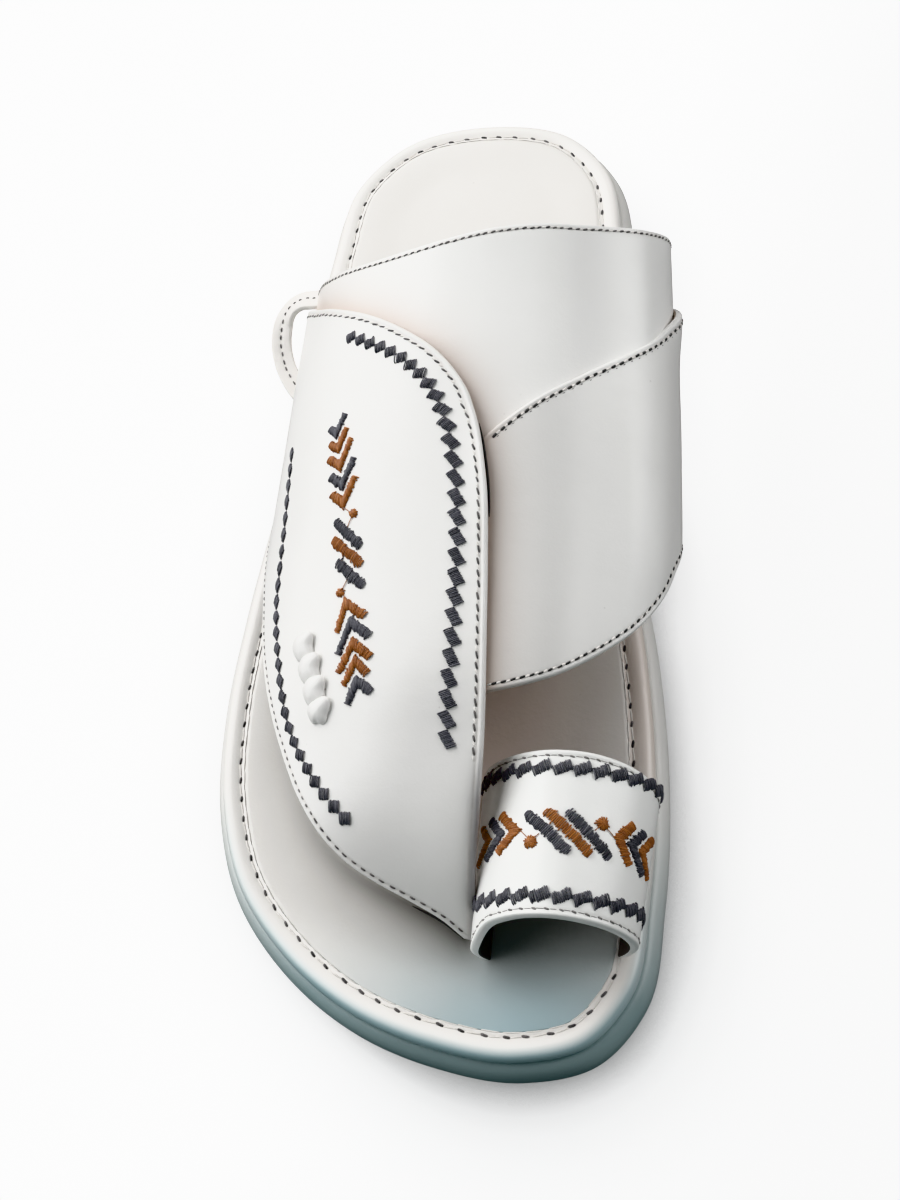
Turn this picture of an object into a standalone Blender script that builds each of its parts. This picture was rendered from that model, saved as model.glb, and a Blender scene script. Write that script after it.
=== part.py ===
"""A right-foot Arabic sandal: moulded sole, leather-wrapped footbed, lapped upper and toe ring.

Across is +X towards the inner (big toe) side, along is +Y from toe to heel, and up is +Z.
Tables are in millimetres, with along counted from the front of the sole. The assembly is
then centred, so that the origin is the middle of its footprint, on the floor.
"""

import bmesh
import bpy
import numpy as np
from mathutils import Matrix

MM = 0.001
GIRTH_UNIT = np.array([0.006, 1.0])  # a girth share of this much is about a millimetre long
CLEARANCE = 0.3  # gap left between neighbouring pieces

# ---------------------------------------------------------------- driving sizes
SOLE_STATIONS = 36  # pairs of outline points from toe to heel
BED_COLUMNS = 6  # quads across the top and bottom faces of the sole's layers
STITCH_INSET = 8.6  # stitch line, in from the sole's widest outline
INSOLE_INSET = STITCH_INSET + 1.0
INSOLE_THICKNESS = 1.6
FOOT_DEPTH = 3.0  # straps are drawn this far into the footbed, then trimmed just above it
STRAP_WALL = 2.0
PANEL_WALL = 2.0
PANEL_LIFT = 1.0  # inner panel's inner face above the last, so that it sinks into the strap
WING_WALL = 2.8
WING_LIFT = 1.5  # the same for the outer wing, which sinks into the strap and the inner panel
RING_WALL = 2.2
LOOP_WIDTH = 5.2
LOOP_THICKNESS = 1.9
LOOP_BEVEL = 0.45  # rounding of the loop strip's long edges
LOOP_STATIONS = 30
TWIST_WIDTH = 6.6
TWIST_LENGTH = 9.6
TWIST_HEIGHT = 2.5  # above the wing
TRIM_DEPTH = 6.0  # thickness of the shells, just outside the upper, that trim the loop and the twist

# ---------------------------------------------------------------- tables


def table(header, rows):
    """The rows as one array for each named column."""
    return dict(zip(header.split(), np.array(rows, float).T))


# Widest outline of the sole, anticlockwise from the toe as seen from above.
SOLE_OUTLINE = table(
    "across along",
    [
        (25.0, 0.0),
        (42.2, 5.0),
        (52.8, 18.0),
        (56.9, 42.0),
        (57.8, 73.0),
        (55.2, 104.0),
        (49.2, 138.0),
        (44.6, 172.0),
        (44.4, 205.0),
        (46.6, 236.0),
        (42.6, 258.0),
        (28.5, 275.4),
        (2.0, 282.1),
        (-25.0, 276.4),
        (-41.5, 258.5),
        (-46.6, 232.0),
        (-49.0, 198.0),
        (-54.0, 155.0),
        (-59.0, 115.0),
        (-60.6, 87.0),
        (-58.0, 61.0),
        (-49.8, 39.0),
        (-35.4, 22.0),
        (-15.5, 8.6),
        (5.0, 1.9),
    ],
)

# Side view of the sole: underside and footbed heights.
SOLE_SIDE = table(
    "along ground bed",
    [
        (0, 7.0, 26.5),
        (10, 4.2, 24.4),
        (25, 1.8, 22.0),
        (45, 0.2, 20.6),
        (60, 0.0, 20.2),
        (115, 0.0, 21.0),
        (140, 1.6, 22.3),
        (170, 2.4, 24.6),
        (200, 0.6, 27.2),
        (212, 0.0, 28.2),
        (262, 0.0, 30.6),
        (284, 2.0, 31.2),
    ],
)

# Edge profiles: inset from the widest outline, and height from the level in the third column.
OUTSOLE_EDGE = [
    (5.0, 0.0, "ground"),
    (2.0, 0.9, "ground"),
    (0.5, 3.0, "ground"),
    (0.0, 6.5, "ground"),
    (0.1, -9.0, "bed"),
    (1.0, -6.0, "bed"),
    (2.8, -4.2, "bed"),
    (7.0, -4.2, "bed"),
]
MIDSOLE_EDGE = [
    (7.0, -3.9, "bed"),
    (3.9, -3.9, "bed"),
    (3.3, -2.6, "bed"),
    (3.7, -0.9, "bed"),
    (4.7, 0.1, "bed"),
    (6.2, 0.3, "bed"),
    (STITCH_INSET, 0.0, "bed"),
    (INSOLE_INSET - CLEARANCE, 0.0, "bed"),
    (INSOLE_INSET - CLEARANCE + 0.2, -INSOLE_THICKNESS - CLEARANCE, "bed"),
]
INSOLE_EDGE = [
    (INSOLE_INSET + 0.2, -INSOLE_THICKNESS, "bed"),
    (INSOLE_INSET, -0.5, "bed"),
    (INSOLE_INSET + 0.9, 0.0, "bed"),
]

# The last under the straps: where each section stands on the footbed, and how it swells.
LAST = table(
    "along outer_foot inner_foot crown_across crown_height outer_swell inner_swell inner_lift",
    [
        (20, -40, 20, 13, 14, 0, 2, 12),
        (45, -45.5, 30, 13, 37.5, 0, 8, 14),
        (75, -48.2, 47, 14, 49.5, 0, 14, 22),
        (110, -47.5, 43, 13, 58.5, 0, 36.5, 30),
        (145, -45, 36.5, 11, 68, 1, 50.5, 34),
        (180, -41.6, 32.5, 10, 77.2, 3.5, 56, 36),
        (215, -38, 33.5, 9, 88, 4.5, 52, 40),
    ],
)

# The ring round the big toe.
TOE_FORM = table(
    "along outer_foot inner_foot crown_across crown_height outer_swell inner_swell inner_lift",
    [
        (20, 18.5, 43.0, 32.5, 44.5, 9, 13, 12),
        (45, 18.5, 45.5, 33.0, 45.5, 9, 15, 14),
        (72, 18.5, 48.0, 33.0, 45.5, 8, 18, 16),
    ],
)

# A block that trims every strap just above the footbed.
BED_TRIM_EDGE = [(-30.0, -12.0, "bed"), (-30.0, 2 * CLEARANCE, "bed")]

# Panel edges as (girth, along): girth runs from 0 at the outer foot to 1 at the inner foot.
STRAP_FRONT = [(0, 168), (0.25, 148), (0.5, 120), (0.75, 138), (1, 158)]
STRAP_REAR = [
    (0, 208),
    (0.09, 204),
    (0.17, 198.5),
    (0.245, 193.5),
    (0.366, 188.7),
    (0.425, 188.6),
    (0.48, 189.7),
    (0.53, 191.2),
    (0.63, 194.2),
    (0.68, 195.6),
    (0.74, 198.4),
    (0.79, 202),
    (0.85, 206.5),
    (1, 214),
]
PANEL_FRONT = [
    (0.36, 77),
    (0.45, 78.4),
    (0.52, 80),
    (0.64, 85.6),
    (0.71, 92.4),
    (0.77, 101),
    (0.805, 108.5),
    (0.83, 116),
    (0.86, 121.5),
    (1, 133),
]
PANEL_REAR = [
    (0.36, 122),
    (0.45, 129),
    (0.52, 139),
    (0.6, 150),
    (0.66, 157.2),
    (0.72, 164.7),
    (0.76, 170.6),
    (0.8, 178.4),
    (0.83, 184.6),
    (0.87, 190.5),
    (1, 205),
]
# The wing's edge: free edge and foot line from the tip to the heel-side corner, then back over the crown.
WING_OUTER = [
    (0.493, 31.4),
    (0.47, 34.4),
    (0.43, 37.8),
    (0.384, 41.2),
    (0.34, 45.3),
    (0.305, 50.3),
    (0.27, 57.8),
    (0.235, 68.5),
    (0.208, 77.8),
    (0.18, 88),
    (0.155, 98),
    (0.129, 110.5),
    (0.1, 121),
    (0.06, 133),
    (0, 150),
    (0, 205),
]
WING_INNER = [
    (0, 205),
    (0.06, 201),
    (0.12, 195.7),
    (0.2, 187.5),
    (0.29, 179.2),
    (0.352, 173.5),
    (0.41, 167.1),
    (0.46, 160),
    (0.492, 152.4),
    (0.513, 143),
    (0.524, 130.4),
    (0.524, 110),
    (0.522, 89),
    (0.521, 70),
    (0.517, 52),
    (0.511, 40),
    (0.504, 29.5),
]
WING_CORNER = 0.36  # share of the inner edge that counts as the wing's rear side
RING_FRONT = [
    (0, 25.5),
    (0.17, 26.6),
    (0.26, 29.9),
    (0.34, 30.7),
    (0.5, 30.9),
    (0.66, 30.3),
    (0.81, 29),
    (1, 27.5),
]
RING_REAR = [
    (0, 66),
    (0.14, 67.4),
    (0.29, 68.2),
    (0.48, 68.5),
    (0.61, 68.3),
    (0.73, 66.6),
    (0.84, 63.7),
    (1, 60),
]

# Pull loop: centre line of its flat strip, out from the strap's heel-side edge and back in under the wing.
LOOP_PATH = table(
    "across along height",
    [
        (-37.0, 198.8, 47.6),
        (-41.2, 199.6, 46.8),
        (-44.6, 200.3, 45.6),
        (-48.2, 200.1, 43.3),
        (-51.2, 198.2, 40.0),
        (-52.4, 193.5, 37.0),
        (-51.4, 187.6, 34.5),
        (-48.2, 181.4, 32.5),
        (-44.4, 177.3, 31.0),
        (-40.5, 174.8, 30.4),
    ],
)

# Lace twist on the wing: the two ends of each turn's long axis.
TWIST_TURNS = table(
    "from_girth from_along to_girth to_along",
    [
        (0.255, 89.7, 0.289, 96.1),
        (0.269, 84.1, 0.302, 90.7),
        (0.28, 78.8, 0.312, 85.2),
        (0.291, 73.6, 0.322, 79.7),
    ],
)

# ---------------------------------------------------------------- curves and surfaces


def hermite(keys, values, at):
    """A smooth curve through the values, with slopes from their neighbours, flat past the ends."""
    slopes = np.gradient(values, keys, axis=0)
    i = np.clip(np.searchsorted(keys, at) - 1, 0, len(keys) - 2)
    span = keys[i + 1] - keys[i]
    t = np.clip((at - keys[i]) / span, 0, 1)
    if values.ndim > 1:
        span, t = span[:, None], t[:, None]
    near = (1 + 2 * t) * (1 - t) ** 2 * values[i] + t * (1 - t) ** 2 * span * slopes[i]
    far = t * t * (3 - 2 * t) * values[i + 1] + t * t * (t - 1) * span * slopes[i + 1]
    return near + far


def side(name, along):
    return np.maximum(hermite(SOLE_SIDE["along"], SOLE_SIDE[name], np.atleast_1d(along)), 0)


def spline(points, count, closed=False):
    """Points evenly spread by chord length on a smooth curve through the given ones."""
    points = np.array(points, float)
    wrap = 3
    if closed:
        points = np.vstack([points[-wrap:], points, points[: wrap + 1]])
    lengths = np.concatenate([[0], np.cumsum(np.linalg.norm(np.diff(points, axis=0), axis=1))])
    first, last = (lengths[wrap], lengths[-wrap - 1]) if closed else (0, lengths[-1])
    return hermite(lengths, points, np.linspace(first, last, count, endpoint=not closed))


def sole_ring(inset):
    """Outline points of the sole, inset: toe, inner side, heel, then outer side back to the toe."""
    dense = spline(np.column_stack([SOLE_OUTLINE["across"], SOLE_OUTLINE["along"]]), 720, True)
    ahead = np.roll(dense, -1, axis=0) - np.roll(dense, 1, axis=0)
    inward = np.column_stack([-ahead[:, 1], ahead[:, 0]]) / np.linalg.norm(ahead, axis=1)[:, None]
    dense = dense + inset * inward
    toe, heel = np.argmin(dense[:, 1]), np.argmax(dense[:, 1])
    dense = np.roll(dense, -toe, axis=0)
    heel = (heel - toe) % len(dense)
    inner = dense[: heel + 1]
    outer = np.vstack([dense[heel:], dense[:1]])
    turn = (1 - np.cos(np.linspace(0, np.pi, SOLE_STATIONS + 1))) / 2
    along = dense[0, 1] + (dense[heel, 1] - dense[0, 1]) * turn
    inner_across = np.interp(along, inner[:, 1], inner[:, 0])
    outer_across = np.interp(along, outer[::-1, 1], outer[::-1, 0])
    there = np.column_stack([inner_across, along])
    back = np.column_stack([outer_across, along])[-2:0:-1]
    return np.vstack([there, back])


def bezier(a, b, c, d, t):
    return (1 - t) ** 3 * a + 3 * (1 - t) ** 2 * t * b + 3 * (1 - t) * t**2 * c + t**3 * d


def on_form(form, girth, along):
    """Point of a last section: up the outer side to the crown, then down the inner side."""
    girth, along = np.broadcast_arrays(np.asarray(girth, float), np.asarray(along, float))
    at = {name: hermite(form["along"], form[name], along.ravel()) for name in form}
    foot = side("bed", along.ravel()) - FOOT_DEPTH
    half = girth.ravel() * 2
    rise = at["crown_height"] - foot
    outer_width = at["crown_across"] - at["outer_foot"]
    inner_width = at["inner_foot"] - at["crown_across"]
    t = np.clip(half, 0, 1)
    outer_x = bezier(
        at["outer_foot"],
        at["outer_foot"] - at["outer_swell"],
        at["crown_across"] - 0.55 * outer_width,
        at["crown_across"],
        t,
    )
    outer_z = bezier(foot, foot + 0.55 * rise, at["crown_height"], at["crown_height"], t)
    t = np.clip(half - 1, 0, 1)
    inner_x = bezier(
        at["crown_across"],
        at["crown_across"] + 0.55 * inner_width + 0.2 * at["inner_swell"],
        at["inner_foot"] + at["inner_swell"],
        at["inner_foot"],
        t,
    )
    inner_z = bezier(at["crown_height"], at["crown_height"], foot + at["inner_lift"], foot, t)
    x = np.where(half < 1, outer_x, inner_x)
    z = np.where(half < 1, outer_z, inner_z)
    return np.stack([x, along.ravel(), z], -1).reshape(girth.shape + (3,))


def lifted(form, girth, along, lift):
    """The same point, moved out along the surface normal."""
    step = 0.004
    low, high = np.clip(girth - step, 0, 1), np.clip(girth + step, 0, 1)
    around = on_form(form, high, along) - on_form(form, low, along)
    ahead = on_form(form, girth, along + 1) - on_form(form, girth, along - 1)
    normal = np.cross(around, ahead) + (0, 0, 1e-9)
    normal /= np.linalg.norm(normal, axis=-1, keepdims=True)
    return on_form(form, girth, along) + lift * normal


def coons(front, rear, outer, inner, columns, rows):
    """Grid of (girth, along) inside four edge curves, which share their corners."""
    counts = (columns, columns, rows, rows)
    front, rear, outer, inner = (
        spline(np.array(edge) / GIRTH_UNIT, count + 1) * GIRTH_UNIT
        for edge, count in zip((front, rear, outer, inner), counts)
    )
    u = np.linspace(0, 1, columns + 1)[None, :, None]
    v = np.linspace(0, 1, rows + 1)[:, None, None]
    ends = (1 - v) * front[None] + v * rear[None]
    sides = (1 - u) * outer[:, None] + u * inner[:, None]
    corners = (1 - u) * ((1 - v) * front[0] + v * rear[0]) + u * ((1 - v) * front[-1] + v * rear[-1])
    return ends + sides - corners


# ---------------------------------------------------------------- Blender objects


def collection(name, hidden=False):
    made = bpy.data.collections.new(name)
    bpy.context.scene.collection.children.link(made)
    made.hide_render = hidden
    return made


def material(name, colour, roughness, metallic=0.0):
    made = bpy.data.materials.new(name)
    made.use_nodes = True
    shader = made.node_tree.nodes["Principled BSDF"]
    shader.inputs["Base Color"].default_value = (*colour, 1)
    shader.inputs["Roughness"].default_value = roughness
    shader.inputs["Metallic"].default_value = metallic
    return made


def mesh_object(name, points, faces, group, finish):
    """A smooth-shaded mesh from millimetre points."""
    mesh = bpy.data.meshes.new(name)
    mesh.from_pydata((np.asarray(points) * MM).tolist(), [], faces)
    mesh.update()
    made = bpy.data.objects.new(name, mesh)
    group.objects.link(made)
    mesh.materials.append(finish)
    mesh.shade_smooth()
    mesh.set_sharp_from_angle(angle=np.radians(40))
    return made


def grid_faces(rows, columns):
    faces = []
    for r in range(rows):
        for c in range(columns):
            corner = r * (columns + 1) + c
            faces.append((corner, corner + 1, corner + columns + 2, corner + columns + 1))
    return faces


def shell(name, form, grid, lift, wall, group, finish):
    """A strap panel: its grid laid on the form, thickened outwards by Solidify."""
    points = lifted(form, grid[..., 0], grid[..., 1], lift)
    rows, columns = grid.shape[0] - 1, grid.shape[1] - 1
    made = mesh_object(name, points.reshape(-1, 3), grid_faces(rows, columns), group, finish)
    thicken = made.modifiers.new("wall", "SOLIDIFY")
    thicken.thickness = wall * MM
    thicken.offset = 1
    return made


def layer(name, edge, group, finish):
    """A layer of the sole: rings up its edge profile, closed by gridded faces below and above."""
    rings = []
    for inset, height, level in edge:
        plan = sole_ring(inset)
        z = side(level, plan[:, 1]) + height
        rings.append(np.column_stack([plan, z]))
    count = len(rings[0])
    points = [p for ring in rings for p in ring]
    faces = []
    for k in range(len(rings) - 1):
        for i in range(count):
            j = (i + 1) % count
            faces.append((k * count + i, k * count + j, (k + 1) * count + j, (k + 1) * count + i))
    for k, upward in ((0, False), (len(rings) - 1, True)):
        level, height = edge[k][2], edge[k][1]
        cap = cap_faces(points, rings[k], k * count, level, height)
        faces += cap if upward else [f[::-1] for f in cap]
    return mesh_object(name, points, faces, group, finish)


def strip(name, path, width, thickness, bevel, count, group, finish):
    """A flat strip swept along a path, lying level across, with rounded long edges."""
    centre = spline(np.column_stack([path["across"], path["along"], path["height"]]), count)
    ahead = np.gradient(centre, axis=0)
    ahead /= np.linalg.norm(ahead, axis=1)[:, None]
    across = np.cross(ahead, (0, 0, 1.0))
    across /= np.linalg.norm(across, axis=1)[:, None]
    above = np.cross(across, ahead)
    w, t = width / 2, thickness / 2
    quarter = [(w, t - bevel), (w - 0.3 * bevel, t - 0.3 * bevel), (w - bevel, t)]
    half = quarter + [(-a, b) for a, b in quarter[::-1]]
    section = np.array(half + [(-a, -b) for a, b in half])
    points = centre[:, None] + section[None, :, :1] * across[:, None] + section[None, :, 1:] * above[:, None]
    size = len(section)
    faces = [tuple(range(size)), tuple(range((count - 1) * size, count * size))[::-1]]
    for k in range(count - 1):
        for i in range(size):
            j = (i + 1) % size
            faces.append((k * size + j, k * size + i, (k + 1) * size + i, (k + 1) * size + j))
    return mesh_object(name, points.reshape(-1, 3), faces, group, finish)


def turn(name, start, end, above, group, finish):
    """One turn of the lace twist: a long low ball between two points of the upper."""
    middle, axis = (start + end) / 2, (end - start) / np.linalg.norm(end - start)
    frame = np.eye(4)
    frame[:3, 0] = np.cross(above, axis) * TWIST_WIDTH / 2
    frame[:3, 1] = above * TWIST_HEIGHT
    frame[:3, 2] = axis * TWIST_LENGTH / 2
    frame[:3, 3] = middle
    ball = bmesh.new()
    bmesh.ops.create_uvsphere(ball, u_segments=16, v_segments=10, radius=1, matrix=Matrix(frame.tolist()))
    points = [tuple(v.co) for v in ball.verts]
    faces = [[v.index for v in f.verts] for f in ball.faces]
    ball.free()
    return mesh_object(name, points, faces, group, finish)


def recentre(parts, helpers):
    """Moves every mesh, so that the parts' footprint is centred on the origin."""
    graph = bpy.context.evaluated_depsgraph_get()
    corners = np.array([c for made in parts.objects for c in made.evaluated_get(graph).bound_box])
    middle = (corners.min(axis=0) + corners.max(axis=0)) / 2
    for made in [*parts.objects, *helpers.objects]:
        made.data.transform(Matrix.Translation((-middle[0], -middle[1], 0)))


def cap_faces(points, ring, start, level, height):
    """Quads across from the inner to the outer side, with a fan at the toe and the heel."""
    rows = []
    for i in range(1, SOLE_STATIONS):
        inner, outer = ring[i], ring[-i]
        row = [start + i]
        for c in range(1, BED_COLUMNS):
            x = inner[0] + (outer[0] - inner[0]) * c / BED_COLUMNS
            points.append(np.array([x, inner[1], side(level, inner[1])[0] + height]))
            row.append(len(points) - 1)
        rows.append(row + [start + len(ring) - i])
    faces = []
    for here, after in zip(rows, rows[1:]):
        for c in range(BED_COLUMNS):
            faces.append((here[c], after[c], after[c + 1], here[c + 1]))
    toe, heel = start, start + SOLE_STATIONS
    faces += [(toe, rows[0][c], rows[0][c + 1]) for c in range(BED_COLUMNS)]
    faces += [(heel, rows[-1][c + 1], rows[-1][c]) for c in range(BED_COLUMNS)]
    return faces


def combine(base, operation, others):
    """Booleans that keep the exact solver, with the helpers left out of a render."""
    for other in others:
        step = base.modifiers.new(other.name, "BOOLEAN")
        step.operation = operation
        step.solver = "EXACT"
        step.object = other
        other.hide_render = True
        other.display_type = "WIRE"


def build():
    for old in list(bpy.data.objects):
        bpy.data.objects.remove(old)
    parts = collection("arabic_sandal")
    helpers = collection("joined_and_cutting", hidden=True)
    rubber = material("sole_rubber", (0.74, 0.75, 0.71), 0.5)
    rim_leather = material("rim_leather", (0.80, 0.77, 0.73), 0.4)
    bed_leather = material("insole_leather", (0.72, 0.69, 0.66), 0.4)
    upper_leather = material("upper_leather", (0.84, 0.83, 0.81), 0.3)
    ring_leather = material("ring_leather", (0.85, 0.85, 0.84), 0.3)
    loop_leather = material("loop_leather", (0.76, 0.73, 0.70), 0.45)
    lace_leather = material("lace_leather", (0.84, 0.82, 0.79), 0.35)

    layer("outsole", OUTSOLE_EDGE, parts, rubber)
    layer("midsole", MIDSOLE_EDGE, parts, rim_leather)
    layer("insole", INSOLE_EDGE, parts, bed_leather)

    strap_sides = [STRAP_FRONT[0], STRAP_REAR[0]], [STRAP_FRONT[-1], STRAP_REAR[-1]]
    strap = coons(STRAP_FRONT, STRAP_REAR, *strap_sides, 36, 10)
    upper = shell("upper", LAST, strap, 0, STRAP_WALL, parts, upper_leather)
    panel_sides = [PANEL_FRONT[0], PANEL_REAR[0]], [PANEL_FRONT[-1], PANEL_REAR[-1]]
    panel = coons(PANEL_FRONT, PANEL_REAR, *panel_sides, 24, 10)
    inner_panel = shell("inner_panel", LAST, panel, PANEL_LIFT, PANEL_WALL, helpers, upper_leather)
    edge = spline(np.array(WING_INNER) / GIRTH_UNIT, 60) * GIRTH_UNIT
    corner = round(WING_CORNER * len(edge))
    wing_tip = [WING_OUTER[0], WING_INNER[-1]]
    wing = coons(wing_tip, edge[: corner + 1], WING_OUTER, edge[corner:][::-1], 16, 28)
    outer_wing = shell("outer_wing", LAST, wing, WING_LIFT, WING_WALL, helpers, upper_leather)
    trim = layer("bed_trim", BED_TRIM_EDGE, helpers, rubber)
    combine(upper, "UNION", [inner_panel, outer_wing])
    combine(upper, "DIFFERENCE", [trim])

    ring_sides = [RING_FRONT[0], RING_REAR[0]], [RING_FRONT[-1], RING_REAR[-1]]
    ring = coons(RING_FRONT, RING_REAR, *ring_sides, 24, 6)
    toe_ring = shell("toe_ring", TOE_FORM, ring, 0, RING_WALL, parts, ring_leather)
    combine(toe_ring, "DIFFERENCE", [trim])

    for grown in strap, wing:
        grown[-1, :, 1] += CLEARANCE
    strap_face, wing_face = STRAP_WALL, WING_LIFT + WING_WALL
    strap_trim, wing_trim = (
        shell(name, LAST, grid, face + CLEARANCE - TRIM_DEPTH, TRIM_DEPTH, helpers, upper_leather)
        for name, grid, face in (("strap_trim", strap, strap_face), ("wing_trim", wing, wing_face))
    )
    loop_size = LOOP_WIDTH, LOOP_THICKNESS, LOOP_BEVEL, LOOP_STATIONS
    pull_loop = strip("pull_loop", LOOP_PATH, *loop_size, parts, loop_leather)
    combine(pull_loop, "DIFFERENCE", [strap_trim, wing_trim])

    starts = lifted(LAST, TWIST_TURNS["from_girth"], TWIST_TURNS["from_along"], wing_face)
    ends = lifted(LAST, TWIST_TURNS["to_girth"], TWIST_TURNS["to_along"], wing_face)
    higher = lifted(LAST, TWIST_TURNS["from_girth"], TWIST_TURNS["from_along"], wing_face + 1)
    turns = []
    for k, (start, end, above) in enumerate(zip(starts, ends, higher - starts)):
        name, group = ("lace_twist", parts) if k == 0 else (f"lace_turn_{k + 1}", helpers)
        turns.append(turn(name, start, end, above, group, lace_leather))
    combine(turns[0], "UNION", turns[1:])
    combine(turns[0], "DIFFERENCE", [wing_trim])
    recentre(parts, helpers)


build()
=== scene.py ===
import math
import bmesh
import bpy
import numpy as np
from mathutils import Matrix, Vector
from mathutils.kdtree import KDTree


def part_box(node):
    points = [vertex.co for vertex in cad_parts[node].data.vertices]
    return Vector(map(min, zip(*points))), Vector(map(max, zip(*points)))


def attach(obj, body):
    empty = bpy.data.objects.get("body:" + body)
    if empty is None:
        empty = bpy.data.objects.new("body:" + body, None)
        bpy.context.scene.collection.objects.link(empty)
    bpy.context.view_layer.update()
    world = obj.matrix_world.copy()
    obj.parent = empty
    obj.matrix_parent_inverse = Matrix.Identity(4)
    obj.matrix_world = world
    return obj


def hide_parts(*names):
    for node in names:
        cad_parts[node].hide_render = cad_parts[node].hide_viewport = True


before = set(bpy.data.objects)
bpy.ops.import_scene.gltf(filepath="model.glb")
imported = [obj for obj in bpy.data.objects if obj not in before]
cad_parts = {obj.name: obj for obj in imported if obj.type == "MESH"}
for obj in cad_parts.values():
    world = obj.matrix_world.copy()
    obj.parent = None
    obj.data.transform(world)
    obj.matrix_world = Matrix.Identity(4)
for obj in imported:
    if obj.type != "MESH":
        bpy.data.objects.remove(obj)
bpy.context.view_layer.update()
print("frame loaded")

mm = 0.001
bodyName = "root"

# The sandal's own axes, in millimetres: across + to the big-toe side, along from toe to heel, up.
# The last, the panel edges and the sole's profiles are the ones that its solids are made from.


def columns(header, rows):
    return dict(zip(header.split(), np.array(rows, float).T))


sole = {
    "outline": [  # across and along, from the toe round the inner side
        (25, 0), (42.2, 5), (52.8, 18), (56.9, 42), (57.8, 73), (55.2, 104), (49.2, 138),
        (44.6, 172), (44.4, 205), (46.6, 236), (42.6, 258), (28.5, 275.4), (2, 282.1),
        (-25, 276.4), (-41.5, 258.5), (-46.6, 232), (-49, 198), (-54, 155), (-59, 115),
        (-60.6, 87), (-58, 61), (-49.8, 39), (-35.4, 22), (-15.5, 8.6), (5, 1.9),
    ],
    "side": columns(  # underside and footbed, seen from the side
        "along ground bed",
        [(0, 7, 26.5), (10, 4.2, 24.4), (25, 1.8, 22), (45, 0.2, 20.6), (60, 0, 20.2), (115, 0, 21),
         (140, 1.6, 22.3), (170, 2.4, 24.6), (200, 0.6, 27.2), (212, 0, 28.2), (262, 0, 30.6),
         (284, 2, 31.2)],
    ),
    "stations": 170,
    "stitchInset": 8.6,
    "scuffHeight": 5,
}

lastColumns = "along outerFoot innerFoot crownAcross crownHeight outerSwell innerSwell innerLift"
last = columns(
    lastColumns,
    [(20, -40, 20, 13, 14, 0, 2, 12), (45, -45.5, 30, 13, 37.5, 0, 8, 14),
     (75, -48.2, 47, 14, 49.5, 0, 14, 22), (110, -47.5, 43, 13, 58.5, 0, 36.5, 30),
     (145, -45, 36.5, 11, 68, 1, 50.5, 34), (180, -41.6, 32.5, 10, 77.2, 3.5, 56, 36),
     (215, -38, 33.5, 9, 88, 4.5, 52, 40)],
)
toeForm = columns(
    lastColumns,
    [(20, 18.5, 43, 32.5, 44.5, 9, 13, 12), (45, 18.5, 45.5, 33, 45.5, 9, 15, 14),
     (72, 18.5, 48, 33, 45.5, 8, 18, 16)],
)
footDepth = 3  # the forms start this far under the footbed
crownReach = 0.55  # how far the crown's roundness reaches down each side
crownSwell = 0.2

# Panel edges as (girth, along): girth runs from 0 at the outer foot to 1 at the inner foot.
edges = {
    "strapFront": [
        (0, 168), (0.25, 148), (0.5, 120), (0.75, 138), (1, 158),
    ],
    "strapRear": [
        (0, 208), (0.09, 204), (0.17, 198.5), (0.245, 193.5), (0.366, 188.7), (0.425, 188.6), (0.48, 189.7),
        (0.53, 191.2), (0.63, 194.2), (0.68, 195.6), (0.74, 198.4), (0.79, 202), (0.85, 206.5), (1, 214),
    ],
    "panelFront": [
        (0.36, 77), (0.45, 78.4), (0.52, 80), (0.64, 85.6), (0.71, 92.4), (0.77, 101), (0.805, 108.5),
        (0.83, 116), (0.86, 121.5), (1, 133),
    ],
    "panelRear": [
        (0.36, 122), (0.45, 129), (0.52, 139), (0.6, 150), (0.66, 157.2), (0.72, 164.7), (0.76, 170.6),
        (0.8, 178.4), (0.83, 184.6), (0.87, 190.5), (1, 205),
    ],
    "wingOuter": [
        (0.493, 31.4), (0.47, 34.4), (0.43, 37.8), (0.384, 41.2), (0.34, 45.3), (0.305, 50.3), (0.27, 57.8),
        (0.235, 68.5), (0.208, 77.8), (0.18, 88), (0.155, 98), (0.129, 110.5), (0.1, 121), (0.06, 133),
        (0, 150), (0, 205),
    ],
    "wingInner": [
        (0, 205), (0.06, 201), (0.12, 195.7), (0.2, 187.5), (0.29, 179.2), (0.352, 173.5), (0.41, 167.1),
        (0.46, 160), (0.492, 152.4), (0.513, 143), (0.524, 130.4), (0.524, 110), (0.522, 89), (0.524, 70),
        (0.53, 52), (0.53, 40), (0.545, 29.5),
    ],
    "ringFront": [
        (0, 25.5), (0.17, 26.6), (0.26, 29.9), (0.34, 30.7), (0.5, 30.9), (0.66, 30.3), (0.81, 29), (1, 27.5),
    ],
    "ringRear": [
        (0, 66), (0.14, 67.4), (0.29, 68.2), (0.48, 68.5), (0.61, 68.3), (0.73, 66.6), (0.84, 63.7), (1, 60),
    ],
}
girthUnit = np.array([0.006, 1])  # a girth share of this much is about a millimetre long
girthStep = 0.004


def unit(vectors):
    return vectors / np.linalg.norm(vectors, axis=-1, keepdims=True)


def lengthsTo(points):  # how far down a line each of its points lies
    return np.concatenate([[0], np.cumsum(np.linalg.norm(np.diff(points, axis=0), axis=1))])


def readOff(at, down, values):  # rows of values, read off at places down their line
    return np.stack([np.interp(at, down, column) for column in values.T], -1)


def eased(t):
    return t * t * (3 - 2 * t)


def bell(*offsets):  # 1 in the middle, fading out on all sides
    return np.exp(-sum(x * x for x in offsets))


def rounding(d, reach):
    # 0 at the edge, 1 from this reach inwards, along a quarter circle
    return np.sqrt(1 - (1 - np.clip(d / reach, 0, 1)) ** 2)


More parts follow.
